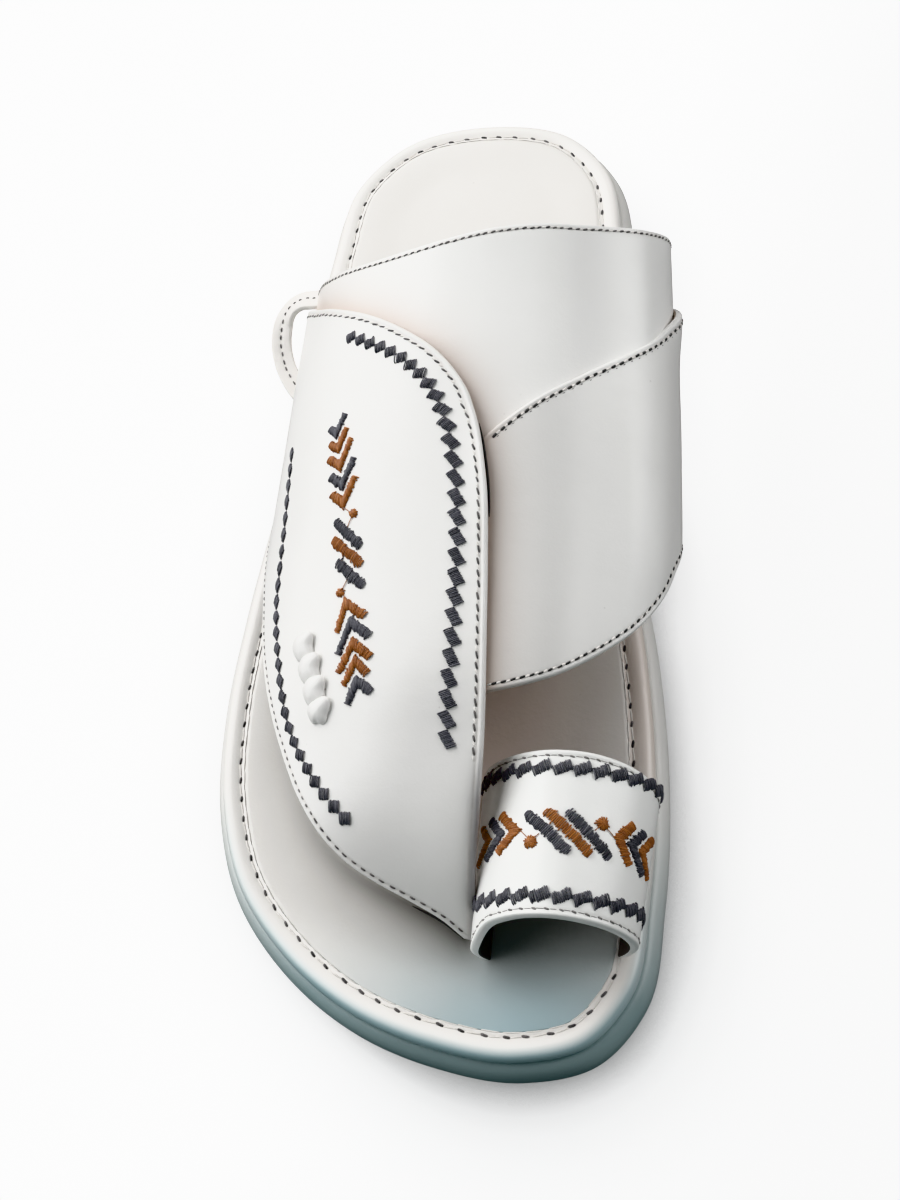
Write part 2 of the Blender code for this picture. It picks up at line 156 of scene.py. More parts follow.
def hermite(keys, values, at):
    # a smooth curve through the values, with slopes from their neighbours, flat past the ends
    slopes = np.gradient(values, keys, axis=0)
    i = np.clip(np.searchsorted(keys, at) - 1, 0, len(keys) - 2)
    span = keys[i + 1] - keys[i]
    t = np.clip((at - keys[i]) / span, 0, 1)
    if values.ndim > 1:
        span, t = span[:, None], t[:, None]
    near = (1 + 2 * t) * (1 - t) ** 2 * values[i] + t * (1 - t) ** 2 * span * slopes[i]
    far = eased(t) * values[i + 1] + t * t * (t - 1) * span * slopes[i + 1]
    return near + far


def soleHeight(name, along):
    return np.maximum(hermite(sole["side"]["along"], sole["side"][name], np.atleast_1d(along)), 0)


def smoothCurve(points, spread, closed=False):
    # points on a smooth curve through the given ones; spread is their number or their shares of its length
    points = np.array(points, float)
    wrap = 3
    if closed:
        points = np.vstack([points[-wrap:], points, points[: wrap + 1]])
    lengths = lengthsTo(points)
    start, stop = (lengths[wrap], lengths[-wrap - 1]) if closed else (0, lengths[-1])
    share = np.linspace(0, 1, spread, endpoint=not closed) if np.isscalar(spread) else spread
    return hermite(lengths, points, start + (stop - start) * share)


def onEdge(edge, spread):  # the same for (girth, along) places on a form
    return smoothCurve(np.array(edge) / girthUnit, spread) * girthUnit


def bezier(a, b, c, d, t):
    return (1 - t) ** 3 * a + 3 * (1 - t) ** 2 * t * b + 3 * (1 - t) * t**2 * c + t**3 * d


def onForm(form, girth, along):
    # point of a last section: up the outer side to the crown, then down the inner side
    girth, along = np.broadcast_arrays(np.asarray(girth, float), np.asarray(along, float))
    shape, half, along = girth.shape, girth.ravel() * 2, along.ravel()
    at = {key: hermite(form["along"], form[key], along) for key in form}
    outer, inner, crown, top = (at[key] for key in ("outerFoot", "innerFoot", "crownAcross", "crownHeight"))
    foot = soleHeight("bed", along) - footDepth
    t = np.clip(half, 0, 1)
    outerX = bezier(outer, outer - at["outerSwell"], crown - crownReach * (crown - outer), crown, t)
    outerZ = bezier(foot, foot + crownReach * (top - foot), top, top, t)
    t = np.clip(half - 1, 0, 1)
    shoulder = crown + crownReach * (inner - crown) + crownSwell * at["innerSwell"]
    innerX = bezier(crown, shoulder, inner + at["innerSwell"], inner, t)
    innerZ = bezier(top, top, foot + at["innerLift"], foot, t)
    x = np.where(half < 1, outerX, innerX)
    z = np.where(half < 1, outerZ, innerZ)
    return np.stack([x, along, z], -1).reshape(shape + (3,))


def aroundForm(form, girth, along):  # how the form's surface runs with rising girth
    low, high = np.clip(girth - girthStep, 0, 1), np.clip(girth + girthStep, 0, 1)
    return (onForm(form, high, along) - onForm(form, low, along)) / np.maximum(high - low, 1e-6)[..., None]


def formNormal(form, girth, along):
    ahead = onForm(form, girth, along + 1) - onForm(form, girth, along - 1)
    return unit(np.cross(aroundForm(form, girth, along), ahead) + (0, 0, 1e-7))


def lifted(form, girth, along, lift):
    # the same point, moved out along the surface normal
    girth, along, lift = np.broadcast_arrays(*(np.asarray(v, float) for v in (girth, along, lift)))
    return onForm(form, girth, along) + lift[..., None] * formNormal(form, girth, along)


def endsDenser(count, strength):
    x = np.linspace(0, 1, count + 1)
    return (1 - strength) * x + strength * eased(x)


def coons(front, rear, outer, inner, u, v):
    # grid of (girth, along) inside four edge curves that share their corners
    front, rear = onEdge(front, u), onEdge(rear, u)
    outer, inner = onEdge(outer, v), onEdge(inner, v)
    u, v = u[None, :, None], v[:, None, None]
    ends = (1 - v) * front[None] + v * rear[None]
    sides = (1 - u) * outer[:, None] + u * inner[:, None]
    corners = (1 - u) * ((1 - v) * front[0] + v * rear[0]) + u * ((1 - v) * front[-1] + v * rear[-1])
    return ends + sides - corners


denseOutline = smoothCurve(sole["outline"], 720, True)
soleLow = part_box("outsole")[0]
shoeShift = np.array([*(np.array(soleLow)[:2] / mm - denseOutline.min(0)), 0])
print("shoe axes in the frame at", np.round(shoeShift, 2))


def soleRing(inset, stations):
    # outline points of the sole, inset: toe, inner side, heel, then the outer side back to the toe
    ahead = unit(np.roll(denseOutline, -1, axis=0) - np.roll(denseOutline, 1, axis=0))
    dense = denseOutline + inset * np.column_stack([-ahead[:, 1], ahead[:, 0]])
    dense = np.roll(dense, -np.argmin(dense[:, 1]), axis=0)
    heel = np.argmax(dense[:, 1])
    inner, outer = dense[: heel + 1], np.vstack([dense[heel:], dense[:1]])[::-1]
    turn = (1 - np.cos(np.linspace(0, np.pi, stations + 1))) / 2
    along = dense[0, 1] + (dense[heel, 1] - dense[0, 1]) * turn
    there, back = (np.interp(along, side[:, 1], side[:, 0]) for side in (inner, outer))
    return np.vstack([np.column_stack([there, along]), np.column_stack([back, along])[-2:0:-1]])


def stand(name, data):  # a new object, linked to the scene
    made = bpy.data.objects.new(name, data)
    bpy.context.scene.collection.objects.link(made)
    return made


def addObject(name, points, faces, finishKeys, finishOf=None, angle=None):
    # a smooth-shaded mesh from millimetre points in the shoe's axes
    mesh = bpy.data.meshes.new(name)
    mesh.from_pydata(((np.asarray(points) + shoeShift) * mm).tolist(), [], [tuple(f) for f in faces])
    mesh.update()
    made = stand(name, mesh)
    for key in finishKeys.split():
        mesh.materials.append(finish[key])
    if finishOf is not None:
        mesh.polygons.foreach_set("material_index", np.asarray(finishOf, np.int32))
    mesh.shade_smooth()
    if angle:
        mesh.set_sharp_from_angle(angle=math.radians(angle))
    return made


def gridFaces(rows, cols):
    step = cols + 1
    r, c = np.mgrid[0:rows, 0:cols]
    corner = (r * step + c).ravel()
    return np.column_stack([corner, corner + 1, corner + step + 1, corner + step])


def ringFaces(rings, around):  # between closed rings of points
    k, i = np.mgrid[0 : rings - 1, 0:around]
    j, low, high = (i + 1) % around, k * around, (k + 1) * around
    return np.stack([low + i, low + j, high + j, high + i], -1).reshape(-1, 4)


def weld(made):
    work = bmesh.new()
    work.from_mesh(made.data)
    bmesh.ops.remove_doubles(work, verts=work.verts, dist=1e-6)
    bmesh.ops.dissolve_degenerate(work, edges=work.edges, dist=1e-7)
    work.to_mesh(made.data)
    work.free()
    made.data.update()


def nearest(points, targets):
    # distance from each point to the nearest target
    tree = KDTree(len(targets))
    for k, target in enumerate(targets):
        tree.insert((*target, 0)[:3], k)
    tree.balance()
    away = [tree.find((*point, 0)[:3])[2] for point in points.reshape(-1, points.shape[-1])]
    return np.reshape(away, points.shape[:-1])


def operator(operation, swap=False):  # for Value; swapped for the reflected form
    def apply(self, other):
        pair = (other, self) if swap else (self, other)
        return self.nodes.node("ShaderNodeMath", {"operation": operation}, dict(enumerate(pair)))
    return apply


class Value:  # an output socket, so that shader maths reads as an expression
    def __init__(self, nodes, socket):
        self.nodes, self.socket = nodes, socket

    __add__ = __radd__ = operator("ADD")
    __mul__ = __rmul__ = operator("MULTIPLY")
    __sub__, __rsub__ = operator("SUBTRACT"), operator("SUBTRACT", True)
    __pow__, __rpow__ = operator("POWER"), operator("POWER", True)


class Nodes:  # one node tree
    def __init__(self, tree):
        self.tree = tree

    def node(self, kind, settings=None, inputs=None, output=0):
        made = self.tree.nodes.new(kind)
        for key, setting in (settings or {}).items():
            setattr(made, key, setting)
        for key, value in (inputs or {}).items():
            self.put(made.inputs[key], value)
        return Value(self, made.outputs[output])

    def put(self, socket, value):
        if isinstance(value, Value):
            self.tree.links.new(value.socket, socket)
        else:
            socket.default_value = (*value, 1) if socket.type == "RGBA" else value

    def place(self, output="Object"):
        return self.node("ShaderNodeTexCoord", output=output)

    def axis(self, place, name):
        return self.node("ShaderNodeSeparateXYZ", inputs={0: place}, output=name)


class Paint(Nodes):  # one material and its nodes
    def __init__(self, name, fixed):
        self.material = bpy.data.materials.new(name)
        self.material.use_nodes = True
        super().__init__(self.material.node_tree)
        self.feed(fixed)

    def feed(self, sockets):
        for key, value in sockets.items():
            self.put(self.tree.nodes["Principled BSDF"].inputs[key], value)
        return self.material

    def attribute(self, name):
        return self.node("ShaderNodeAttribute", {"attribute_name": name}, output="Fac")

    def noise(self, perMetre, detail=2, roughness=0.5, stretch=None):
        at = self.place()
        if stretch:
            at = self.node("ShaderNodeVectorMath", {"operation": "MULTIPLY"}, {0: at, 1: stretch})
        inputs = {"Vector": at, "Scale": perMetre, "Detail": detail, "Roughness": roughness}
        return self.node("ShaderNodeTexNoise", inputs=inputs)

    def grain(self, perMetre):
        return self.node("ShaderNodeTexVoronoi", inputs={"Vector": self.place(), "Scale": perMetre})

    def between(self, value, low, high):  # 0 at low, 1 at high, eased
        inputs = {"Value": value, "From Min": low, "From Max": high}
        return self.node("ShaderNodeMapRange", {"interpolation_type": "SMOOTHSTEP"}, inputs)

    def mix(self, factor, first, second):
        return self.node("ShaderNodeMix", {"data_type": "RGBA"}, {0: factor, 6: first, 7: second}, 2)

    def cover(self, tone, rough, height, relief):
        normal = self.node("ShaderNodeBump", inputs={"Height": height, "Distance": relief})
        return self.feed({"Base Color": tone, "Roughness": rough, "Normal": normal})


def leather(name, look):
    # smooth coated leather: faint pores, soft unevenness, a few specks, darker in patches along its seam
    # grooves, and painted shade from the shade attributes
    paint = Paint(name, {"Coat Weight": look["coat"], "Coat Roughness": look["coatRoughness"], "IOR": 1.48})
    tone = paint.mix(paint.between(paint.noise(22, 3), 0.35, 0.7), look["tone"], look["shade"])
    cloud = paint.between(paint.noise(140, 3, 0.6), 0.45, 0.8)
    tone = paint.mix(cloud * 0.35, tone, look["shade"])
    seam = paint.attribute("seam")
    patchy = paint.between(paint.noise(420), 0.3, 0.75)
    tone = paint.mix(seam * (0.25 + 0.35 * patchy), tone, look["seamTone"])
    # painted shade: the cool, warm and deep tones, laid where the shade attributes ask for them
    for key in ("cool", "warm", "deep"):
        tone = paint.mix(paint.attribute(key + "Shade"), tone, look.get(key, look["shade"]))
    speck = paint.between(paint.grain(95), 0.038, 0.014) * paint.between(paint.noise(60), 0.48, 0.62)
    tone = paint.mix(speck * 0.7, tone, look["speck"])
    pores = paint.grain(look["poresPerMetre"])
    height = pores * 0.35 + paint.noise(2600) * 0.5 + paint.noise(260) * look["swell"]
    rough = look["roughness"] + 0.08 * cloud + 0.05 * seam
    return paint.cover(tone, rough, height, look["relief"])


# Every leather starts from the outer hide or from the lining, and names what is its own; its cool, warm and
# deep tones are painted shade, mixed in where a piece's shade attributes say.
hide = {"speck": (0.35, 0.32, 0.3), "roughness": 0.36, "coat": 0.25, "coatRoughness": 0.28,
        "poresPerMetre": 1500, "swell": 1.6, "relief": 0.00003}
rawHide = dict(hide, coat=0, coatRoughness=0.5, poresPerMetre=1100, swell=1, relief=0.00008)
leatherLooks = {
    "upper": dict(hide, tone=(0.88, 0.87, 0.85), shade=(0.84, 0.83, 0.81), seamTone=(0.62, 0.58, 0.54),
                  warm=(0.44, 0.33, 0.27), cool=(0.17, 0.165, 0.17), swell=2.2),
    "ring": dict(hide, tone=(0.94, 0.94, 0.92), shade=(0.91, 0.91, 0.89), seamTone=(0.6, 0.59, 0.56)),
    "rim": dict(hide, tone=(0.91, 0.89, 0.86), shade=(0.87, 0.85, 0.82), seamTone=(0.55, 0.5, 0.46),
                cool=(0.36, 0.5, 0.53), warm=(0.7, 0.61, 0.55), roughness=0.34, coat=0.3, coatRoughness=0.25),
    "bed": dict(hide, tone=(0.77, 0.75, 0.72), shade=(0.73, 0.71, 0.68), seamTone=(0.5, 0.46, 0.42),
                cool=(0.31, 0.42, 0.45), warm=(0.64, 0.53, 0.47), deep=(0.1, 0.098, 0.088),
                roughness=0.34, coat=0.3, coatRoughness=0.3, poresPerMetre=1300, swell=2.4),
    "loop": dict(hide, tone=(0.88, 0.85, 0.82), shade=(0.84, 0.81, 0.78), seamTone=(0.5, 0.46, 0.42),
                 roughness=0.45, coat=0.1, coatRoughness=0.35, swell=1.4, relief=0.00005),
    "lace": dict(hide, tone=(0.88, 0.87, 0.85), shade=(0.84, 0.83, 0.81), seamTone=(0.6, 0.56, 0.52),
                 roughness=0.33, coat=0.3, coatRoughness=0.25, poresPerMetre=1700, swell=1.2),
    # The ring's lining: dark suede, darkened further as painted shade inside the ring.
    "ringLining": dict(rawHide, tone=(0.08, 0.07, 0.063), shade=(0.06, 0.053, 0.05),
                       seamTone=(0.05, 0.045, 0.04), speck=(0.15, 0.13, 0.12), roughness=0.6),
    "lining": dict(rawHide, tone=(0.34, 0.28, 0.23), shade=(0.3, 0.24, 0.2), seamTone=(0.12, 0.09, 0.07),
                   speck=(0.25, 0.2, 0.16), roughness=0.7),
}
# The strap is the upper's leather made lighter: painted light on its crown.
leatherLooks["strap"] = dict(leatherLooks["upper"], tone=(0.95, 0.942, 0.922), shade=(0.92, 0.912, 0.892))

# cool is the tone of the painted bluish shade round the toe.
rubberLook = {"tone": (0.77, 0.76, 0.735), "shade": (0.72, 0.71, 0.685), "cool": (0.29, 0.385, 0.395),
              "scuff": (0.52, 0.5, 0.47), "roughness": 0.42, "relief": 0.00004}


def rubber():
    # moulded sole: matt off-white, with painted bluish shade round the toe, fine flow marks and a scuffed
    # bottom edge
    paint = Paint("soleRubber", {"Coat Weight": 0.12, "Coat Roughness": 0.35, "IOR": 1.5})
    broad = paint.between(paint.noise(30, 3), 0.35, 0.7)
    tone = paint.mix(broad, rubberLook["tone"], rubberLook["shade"])
    tone = paint.mix(paint.attribute("coolShade"), tone, rubberLook["cool"])
    marks = paint.noise(120, 3, 0.6, (1, 1, 6))
    scuff = paint.attribute("groundWear") * paint.between(marks, 0.45, 0.7)
    tone = paint.mix(scuff * 0.6, tone, rubberLook["scuff"])
    height = paint.noise(1800, 3) * 0.5 + paint.noise(300) * 1.5 + marks * 0.6
    rough = rubberLook["roughness"] + 0.12 * broad + 0.2 * scuff
    return paint.cover(tone, rough, height, rubberLook["relief"])


threadLooks = {
    "slate": {"tone": (0.042, 0.043, 0.051), "light": (0.15, 0.15, 0.175), "roughness": 0.45},
    "rust": {"tone": (0.2, 0.06, 0.015), "light": (0.5, 0.2, 0.058), "roughness": 0.42},
    "seamGrey": {"tone": (0.07, 0.067, 0.067), "light": (0.17, 0.16, 0.155), "roughness": 0.6},
    "seamFaint": {"tone": (0.16, 0.155, 0.15), "light": (0.3, 0.29, 0.28), "roughness": 0.6},
    "darkThreadAndShadow": {"tone": (0.022, 0.021, 0.021), "light": (0.07, 0.067, 0.065), "roughness": 0.55},
    "seamBed": {"tone": (0.008, 0.0075, 0.0075), "light": (0.18, 0.17, 0.165), "roughness": 0.55},
    "pale": {"tone": (0.74, 0.71, 0.67), "light": (0.84, 0.82, 0.79), "roughness": 0.55},
}
threadRelief = 0.00006


def thread(name, look):
    # twisted filament: each stitch has its own tone, with fine twist lines in colour and relief
    paint = Paint(name, {"Sheen Weight": 0.15, "IOR": 1.5})
    fuzz = paint.between(paint.noise(3200, 3, 0.6), 0.3, 0.75)
    tone = paint.mix(0.6 * paint.attribute("stitchTone") + 0.4 * fuzz, look["tone"], look["light"])
    height = paint.noise(5200, stretch=(1, 0.35, 1)) + 0.5 * fuzz
    rough = look["roughness"] + 0.15 * fuzz
    return paint.cover(tone, rough, height, threadRelief)


def floorPaint():
    # pale floor with painted light: it glows, less past the toe and the inner side as painted shade, and dims
    # near the sole as painted contact shadow
    paint = Paint("studioFloor", {"Specular IOR Level": 0.1, "Emission Strength": 1, "Roughness": 0.9})
    glow, tone = studio["floorGlow"], studio["floorTone"]
    tone = paint.mix(paint.noise(1.5), tone, tuple(0.985 * c for c in tone))
    across, along = (paint.axis(paint.place(), name) for name in "XY")
    side = paint.between(across + along * glow["lean"], glow["from"], glow["to"])
    # painted contact shadow: the glow falls off where the occlusion node finds the sole close by
    openSky = paint.node("ShaderNodeAmbientOcclusion", {"samples": 8}, {"Distance": glow["contact"]}, "AO")
    light = paint.mix(side, (glow["near"],) * 3, (glow["far"],) * 3)
    light = paint.mix(openSky ** 2.5, (0, 0, 0), light)
    return paint.feed({"Base Color": tone, "Emission Color": light})


finish = {key: leather(key + "Leather", look) for key, look in leatherLooks.items()}
finish["rubber"] = rubber()
finish.update({key: thread(key + "Thread", look) for key, look in threadLooks.items()})
print("finishes made")


def spreadAttribute(made, name, values):
    field = made.data.attributes.new(name, "FLOAT", "POINT")
    field.data.foreach_set("value", np.asarray(values, np.float32))


def soleLayer(name, sizes, finishKey):
    # rings up an edge profile, closed below and above by gridded faces
    stations, edge, rings = sole["stations"], sizes["edge"], []
    for inset, height, level in edge:
        plan = soleRing(inset, stations)
        rings.append(np.column_stack([plan, soleHeight(level, plan[:, 1]) + height]))
    count = len(rings[0])
    points, faces, total = [*rings], [*ringFaces(len(rings), count)], len(rings) * count
    for k, upward in ((0, False), (len(rings) - 1, True)):
        height, level = edge[k][1:]
        inner, outer = rings[k][1:stations], rings[k][: -stations : -1]
        share = endsDenser(sizes["capColumns"], 0.6)[1:-1]
        x = inner[:, :1] + (outer[:, :1] - inner[:, :1]) * share
        y = np.repeat(inner[:, 1:2], len(share), 1)
        z = soleHeight(level, y.ravel()).reshape(y.shape) + height
        if upward and "dish" in sizes:
            away = nearest(np.stack([x, y], -1), rings[k][:, :2])
            z -= sizes["dish"] * eased(np.minimum(away / sizes["dishReach"], 1))
        points.append(np.stack([x, y, z], -1).reshape(-1, 3))
        index = total + np.arange(x.size).reshape(x.shape)
        total += x.size
        toe, side = k * count, np.arange(1, stations)
        index = np.column_stack([toe + side, index, toe + count - side])
        here, after = index[:-1], index[1:]
        cap = [*np.stack([here[:, :-1], after[:, :-1], after[:, 1:], here[:, 1:]], -1).reshape(-1, 4)]
        cap += [(toe, a, b) for a, b in zip(index[0], index[0, 1:])]
        cap += [(toe + stations, b, a) for a, b in zip(index[-1], index[-1, 1:])]
        faces += cap if upward else [f[::-1] for f in cap]
    return addObject(name, np.vstack(points), faces, finishKey, angle=35)


def atLevel(level, edge):  # an edge profile's points (inset, height) over the ground or the bed
    return [(inset, height, level) for inset, height in edge]


outsoleSizes = {
    "edge": atLevel("ground", [(5, 0), (3.2, 0.25), (1.9, 0.9), (1, 1.9), (0.45, 3.2), (0.15, 4.8), (0, 6.5)])
    + atLevel("bed", [(0.05, -10.5), (0.15, -9), (0.45, -7.6), (1, -6.2), (1.7, -5.2), (2.6, -4.35),
                      (3.1, -4.2), (7, -4.2)]),
    "capColumns": 10,
}
rimSizes = {
    "edge": atLevel("bed", [
        (7, -3.9), (4, -3.9), (3.45, -3.5), (3.3, -2.6), (3.4, -1.7), (3.7, -0.9), (4.15, -0.25), (4.8, 0.2),
        (5.6, 0.42), (6.4, 0.42), (7.2, 0.25), (7.9, 0), (8.35, -0.22), (8.6, -0.28), (8.85, -0.22),
        (9.2, -0.06), (9.5, -0.03), (9.6, -0.14), (9.62, -1.9),
    ]),
    "capColumns": 10, "seamShade": 0.5, "seamWidth": 0.6,
}
insoleSizes = {
    "edge": atLevel("bed", [(9.9, -1.6), (9.66, -0.4), (9.7, -0.14), (9.85, -0.03), (10.7, 0)]),
    "capColumns": 44, "dish": 0.7, "dishReach": 14,  # dish: how far its middle sinks
}

outsolePiece = soleLayer("moulded_outsole", outsoleSizes, "rubber")
rimPiece = soleLayer("footbed_rim", rimSizes, "rim")
insolePiece = soleLayer("footbed_insole", insoleSizes, "bed")
print("sole made")


def softSpots(spots, girth, along):
    # soft rounded troughs and ridges, each at a place on the form with its spread and height
    total = np.zeros(np.broadcast(girth, along).shape)
    for g, a, spreadG, spreadA, height in spots:
        total += height * bell((girth - g) / spreadG, (along - a) / spreadA)
    return total


def faceOf(sizes, girth, along):  # height of a panel's outer face over the last
    return (sizes["low"] + sizes["wall"] + softSpots(sizes["lifts"], girth, along)
            + softSpots(sizes["creases"], girth, along))


def leatherShell(name, grid, sizes, finishKeys, freeEdges):
    # a strap panel: outer and inner face round off to one rim along its free edges
    girth, along = grid[..., 0], grid[..., 1]
    form, low, wall, inset = (sizes[key] for key in ("form", "low", "wall", "seamInset"))
    rim = np.vstack([lifted(form, *onEdge(edge, sizes["rimPoints"]).T, low + wall) for edge in freeEdges])
    d = nearest(lifted(form, girth, along, low + wall), rim)
    border = np.ones(d.shape, bool)
    border[1:-1, 1:-1] = False
    # only the very edge closes the wall
    d = np.where(d < sizes["snap"], np.where(border, 0, sizes["snap"]), d)
    seam = bell((d - inset) / sizes["seamWidth"])
    puff = bell((d - inset * 0.45) / (inset * 0.4))
    roundness = rounding(d, sizes["rimReach"])
    base = low + softSpots(sizes["lifts"], girth, along)
    rise = wall - (1 - roundness) * wall * sizes["rimTop"] - sizes["seamDepth"] * seam + sizes["puff"] * puff
    rise += softSpots(sizes["creases"], girth, along) * roundness
    under = (1 - rounding(d, sizes["underReach"])) * wall * (1 - sizes["rimTop"])
    outer = lifted(form, girth, along, base + rise)
    inner = lifted(form, girth, along, base + np.where(d == 0, rise, under))
    count = girth.size
    quads = gridFaces(*np.subtract(girth.shape, 1))
    index = np.arange(count).reshape(girth.shape)
    loop = np.concatenate([index[0, :-1], index[:-1, -1], index[-1, :0:-1], index[:0:-1, 0]])
    after = np.roll(loop, -1)
    closing = np.column_stack([after, loop, loop + count, after + count])
    faces = np.vstack([quads, quads[:, ::-1] + count, closing])
    points = np.vstack([outer.reshape(-1, 3), inner.reshape(-1, 3)])
    made = addObject(name, points, faces, finishKeys, np.arange(len(faces)) >= len(quads), angle=60)
    spreadAttribute(made, "seam", np.tile(seam.ravel(), 2))
    weld(made)
    return made


strapSizes = {
    "form": last, "low": 0, "wall": 2, "snap": 0.02, "rimReach": 0.8, "rimTop": 0.75, "underReach": 0.5,
    "seamInset": 1.5, "seamWidth": 0.4, "seamDepth": 0.12, "puff": 0.05, "columns": 150, "rows": 60,
    "rimPoints": 5000, "lifts": [], "creases": [(0.645, 170, 0.026, 60, -0.85), (0.735, 175, 0.03, 60, 0.85)],
}
panelSizes = dict(
    strapSizes, low=1, seamInset=1.6, columns=110, rows=80,
    lifts=[(0.81, 181, 0.035, 9, 1.7)], creases=[(0.635, 125, 0.028, 60, -0.75), (0.725, 130, 0.03, 60, 0.8)],
)
wingSizes = dict(
    strapSizes, low=1.5, wall=2.8, columns=110, rows=190, corner=0.36, rimTop=0.55, underReach=0.2,
    creases=[],
    lifts=[(0.535, 112, 0.05, 42, 1.2), (0.54, 134, 0.03, 14, 1.5), (0.525, 45, 0.03, 15, -1.8),
           (0.2, 187, 0.06, 12, -1.1)],
)
ringSizes = dict(strapSizes, form=toeForm, wall=2.2, seamInset=1.7, columns=140, rows=70, rimTop=0.85,
                 creases=[])


def panelGrid(front, rear, sizes):
    front, rear = edges[front], edges[rear]
    outer, inner = ([front[k], rear[k]] for k in (0, -1))
    u, v = endsDenser(sizes["columns"], 0.2), endsDenser(sizes["rows"], 0.85)
    return coons(front, rear, outer, inner, u, v)


strapPiece = leatherShell(
    "instep_strap", panelGrid("strapFront", "strapRear", strapSizes), strapSizes, "strap lining",
    [edges["strapFront"], edges["strapRear"]])
panelPiece = leatherShell(
    "inner_panel", panelGrid("panelFront", "panelRear", panelSizes), panelSizes, "upper lining",
    [edges["panelFront"], edges["panelRear"], [edges["panelFront"][0], edges["panelRear"][0]]])
innerEdge = onEdge(edges["wingInner"], 60)
cornerAt = round(wingSizes["corner"] * len(innerEdge))
wingTip = [edges["wingOuter"][0], edges["wingInner"][-1]]
wingGrid = coons(wingTip, innerEdge[: cornerAt + 1], edges["wingOuter"], innerEdge[cornerAt:][::-1],
                 endsDenser(wingSizes["columns"], 0.85), endsDenser(wingSizes["rows"], 0.8))
freeOuter, freeInner = edges["wingOuter"][:-2], edges["wingInner"][1:]  # the rest stands in the footbed
wingPiece = leatherShell(
    "outer_wing", wingGrid, wingSizes, "upper lining", [freeOuter, freeInner, wingTip])
ringPiece = leatherShell(
    "toe_ring_band", panelGrid("ringFront", "ringRear", ringSizes), ringSizes, "ring ringLining",
    [edges["ringFront"], edges["ringRear"]])
print("upper made")

loopSizes = {
    "width": 5.9, "thickness": 1.9, "bevel": 0.6, "stations": 90,
    "groove": (0.12, 0.5),  # depth and half width
    "path": [(-34.5, 197.6, 47), (-37, 198.8, 47.6), (-41.2, 199.6, 46.8), (-44.6, 200.3, 45.6),
             (-48.2, 200.1, 43.3), (-51.2, 198.2, 40), (-52.4, 193.5, 37), (-51.4, 187.6, 34.5),
             (-48.2, 181.4, 32.5), (-44.4, 177.3, 31), (-40.5, 174.8, 30.4)],
}


def stripFrame(path, stops):
    # places down a strip's middle, and its directions across and above there
    centre = smoothCurve(path, stops)
    ahead = unit(np.gradient(centre, axis=0))
    across = unit(np.cross(ahead, (0, 0, 1)))
    return centre, across, np.cross(across, ahead)


def flatStrip(name, sizes, finishKey):
    centre, across, above = stripFrame(sizes["path"], sizes["stations"])
    w, t, b = sizes["width"] / 2, sizes["thickness"] / 2, sizes["bevel"]
    depth, spread = sizes["groove"]
    quarter = [(w - b + b * math.cos(a), t - b + b * math.sin(a)) for a in np.linspace(0, np.pi / 2, 6)]
    top = [(x, t - depth * bell(x / spread)) for x in np.linspace(w - b, b - w, 15)[1:-1]]
    half = quarter + top + [(-x, y) for x, y in quarter[::-1]]
    section = np.array(half + [(-x, -y) for x, y in half])
    points = centre[:, None] + section[:, :1] * across[:, None] + section[:, 1:] * above[:, None]
    end = np.arange(len(section))
    faces = [*ringFaces(len(centre), len(section))[:, ::-1], end, points.size // 3 - 1 - end]
    return addObject(name, points.reshape(-1, 3), faces, finishKey, angle=50)


loopPiece = flatStrip("pull_loop_strip", loopSizes, "loop")
print("pull loop made")


# Painted shade that fades over the pieces: bluish at the toe end, brownish on the footbed and under the
# wing's edge.
coolShade = {"wallStart": 67, "wallReach": 50, "across": 26, "along": 11, "spreadAcross": 38,
             "spreadAlong": 22, "rimFrom": 6.8, "rimReach": 2.6}
warmShade = {"across": 14, "along": 86, "spreadAcross": 26, "spreadAlong": 45, "bed": 0.8, "underWing": 0.85,
             "wingReach": 4.2, "rimAcross": 20, "rimBlend": 25, "rimAlong": 95, "rimSpread": 55}

# Painted shade on the wing where its edge presses on the toe ring.
crevice = {"depth": 0.95, "from": 68, "blend": 12, "reach": 2}

# Painted shadow on the footbed under the outer edge of the wing, darkest where that edge comes down to it at
# the tip, with a dark tube for the shadow in the gap there.
underTip = {"depths": [(28, 0.92), (36, 0.82), (46, 0.68), (60, 0.5), (80, 0.28), (105, 0)], "reach": 4.6,
            "lean": (-0.2, 0.04), "gapLength": 15, "gapRadius": 0.5, "gapLift": 0.25}

# Painted reflection and shade: cooler satin bands on the smooth leather, from and to (girth, along), how far
# they reach, and how deep.
coolBands = {
    "strap": [((0.66, 130), (0.66, 200), 8, 0.2), ((0.8, 140), (0.8, 190), 11, 0.13)],
    "panel": [((0.62, 80), (0.62, 150), 9, 0.1), ((0.8, 105), (0.8, 175), 5, 0.2)],
    "wing": [((0.45, 75), (0.38, 50), 13, 0.18)],
}


def spotsOf(piece):
    return np.array([v.co for v in piece.data.vertices]) / mm - shoeShift


def spotShare(spots, look):  # 1 at a place on the sole, fading round it
    return bell((spots[:, 0] - look["across"]) / look["spreadAcross"],
                (spots[:, 1] - look["along"]) / look["spreadAlong"])


def towardToe(spots):
    return np.clip((coolShade["wallStart"] - spots[:, 1]) / coolShade["wallReach"], 0, 1)


def bandShare(spots, bands):
    share = np.zeros(len(spots))
    for start, stop, reach, depth in bands:
        away = nearest(spots, lifted(last, *np.linspace(start, stop, 60).T, strapSizes["wall"]))
        share += depth * bell(away / reach)
    return share


def underEdge(girth, along):  # where the footbed comes into sight below the wing's edge
    foot = lifted(last, girth, along, wingSizes["low"])
    foot[:, :2] += np.outer(foot[:, 2] - soleHeight("bed", foot[:, 1]), underTip["lean"])
    foot[:, 2] = soleHeight("bed", foot[:, 1]) - insoleSizes["dish"]
    return foot
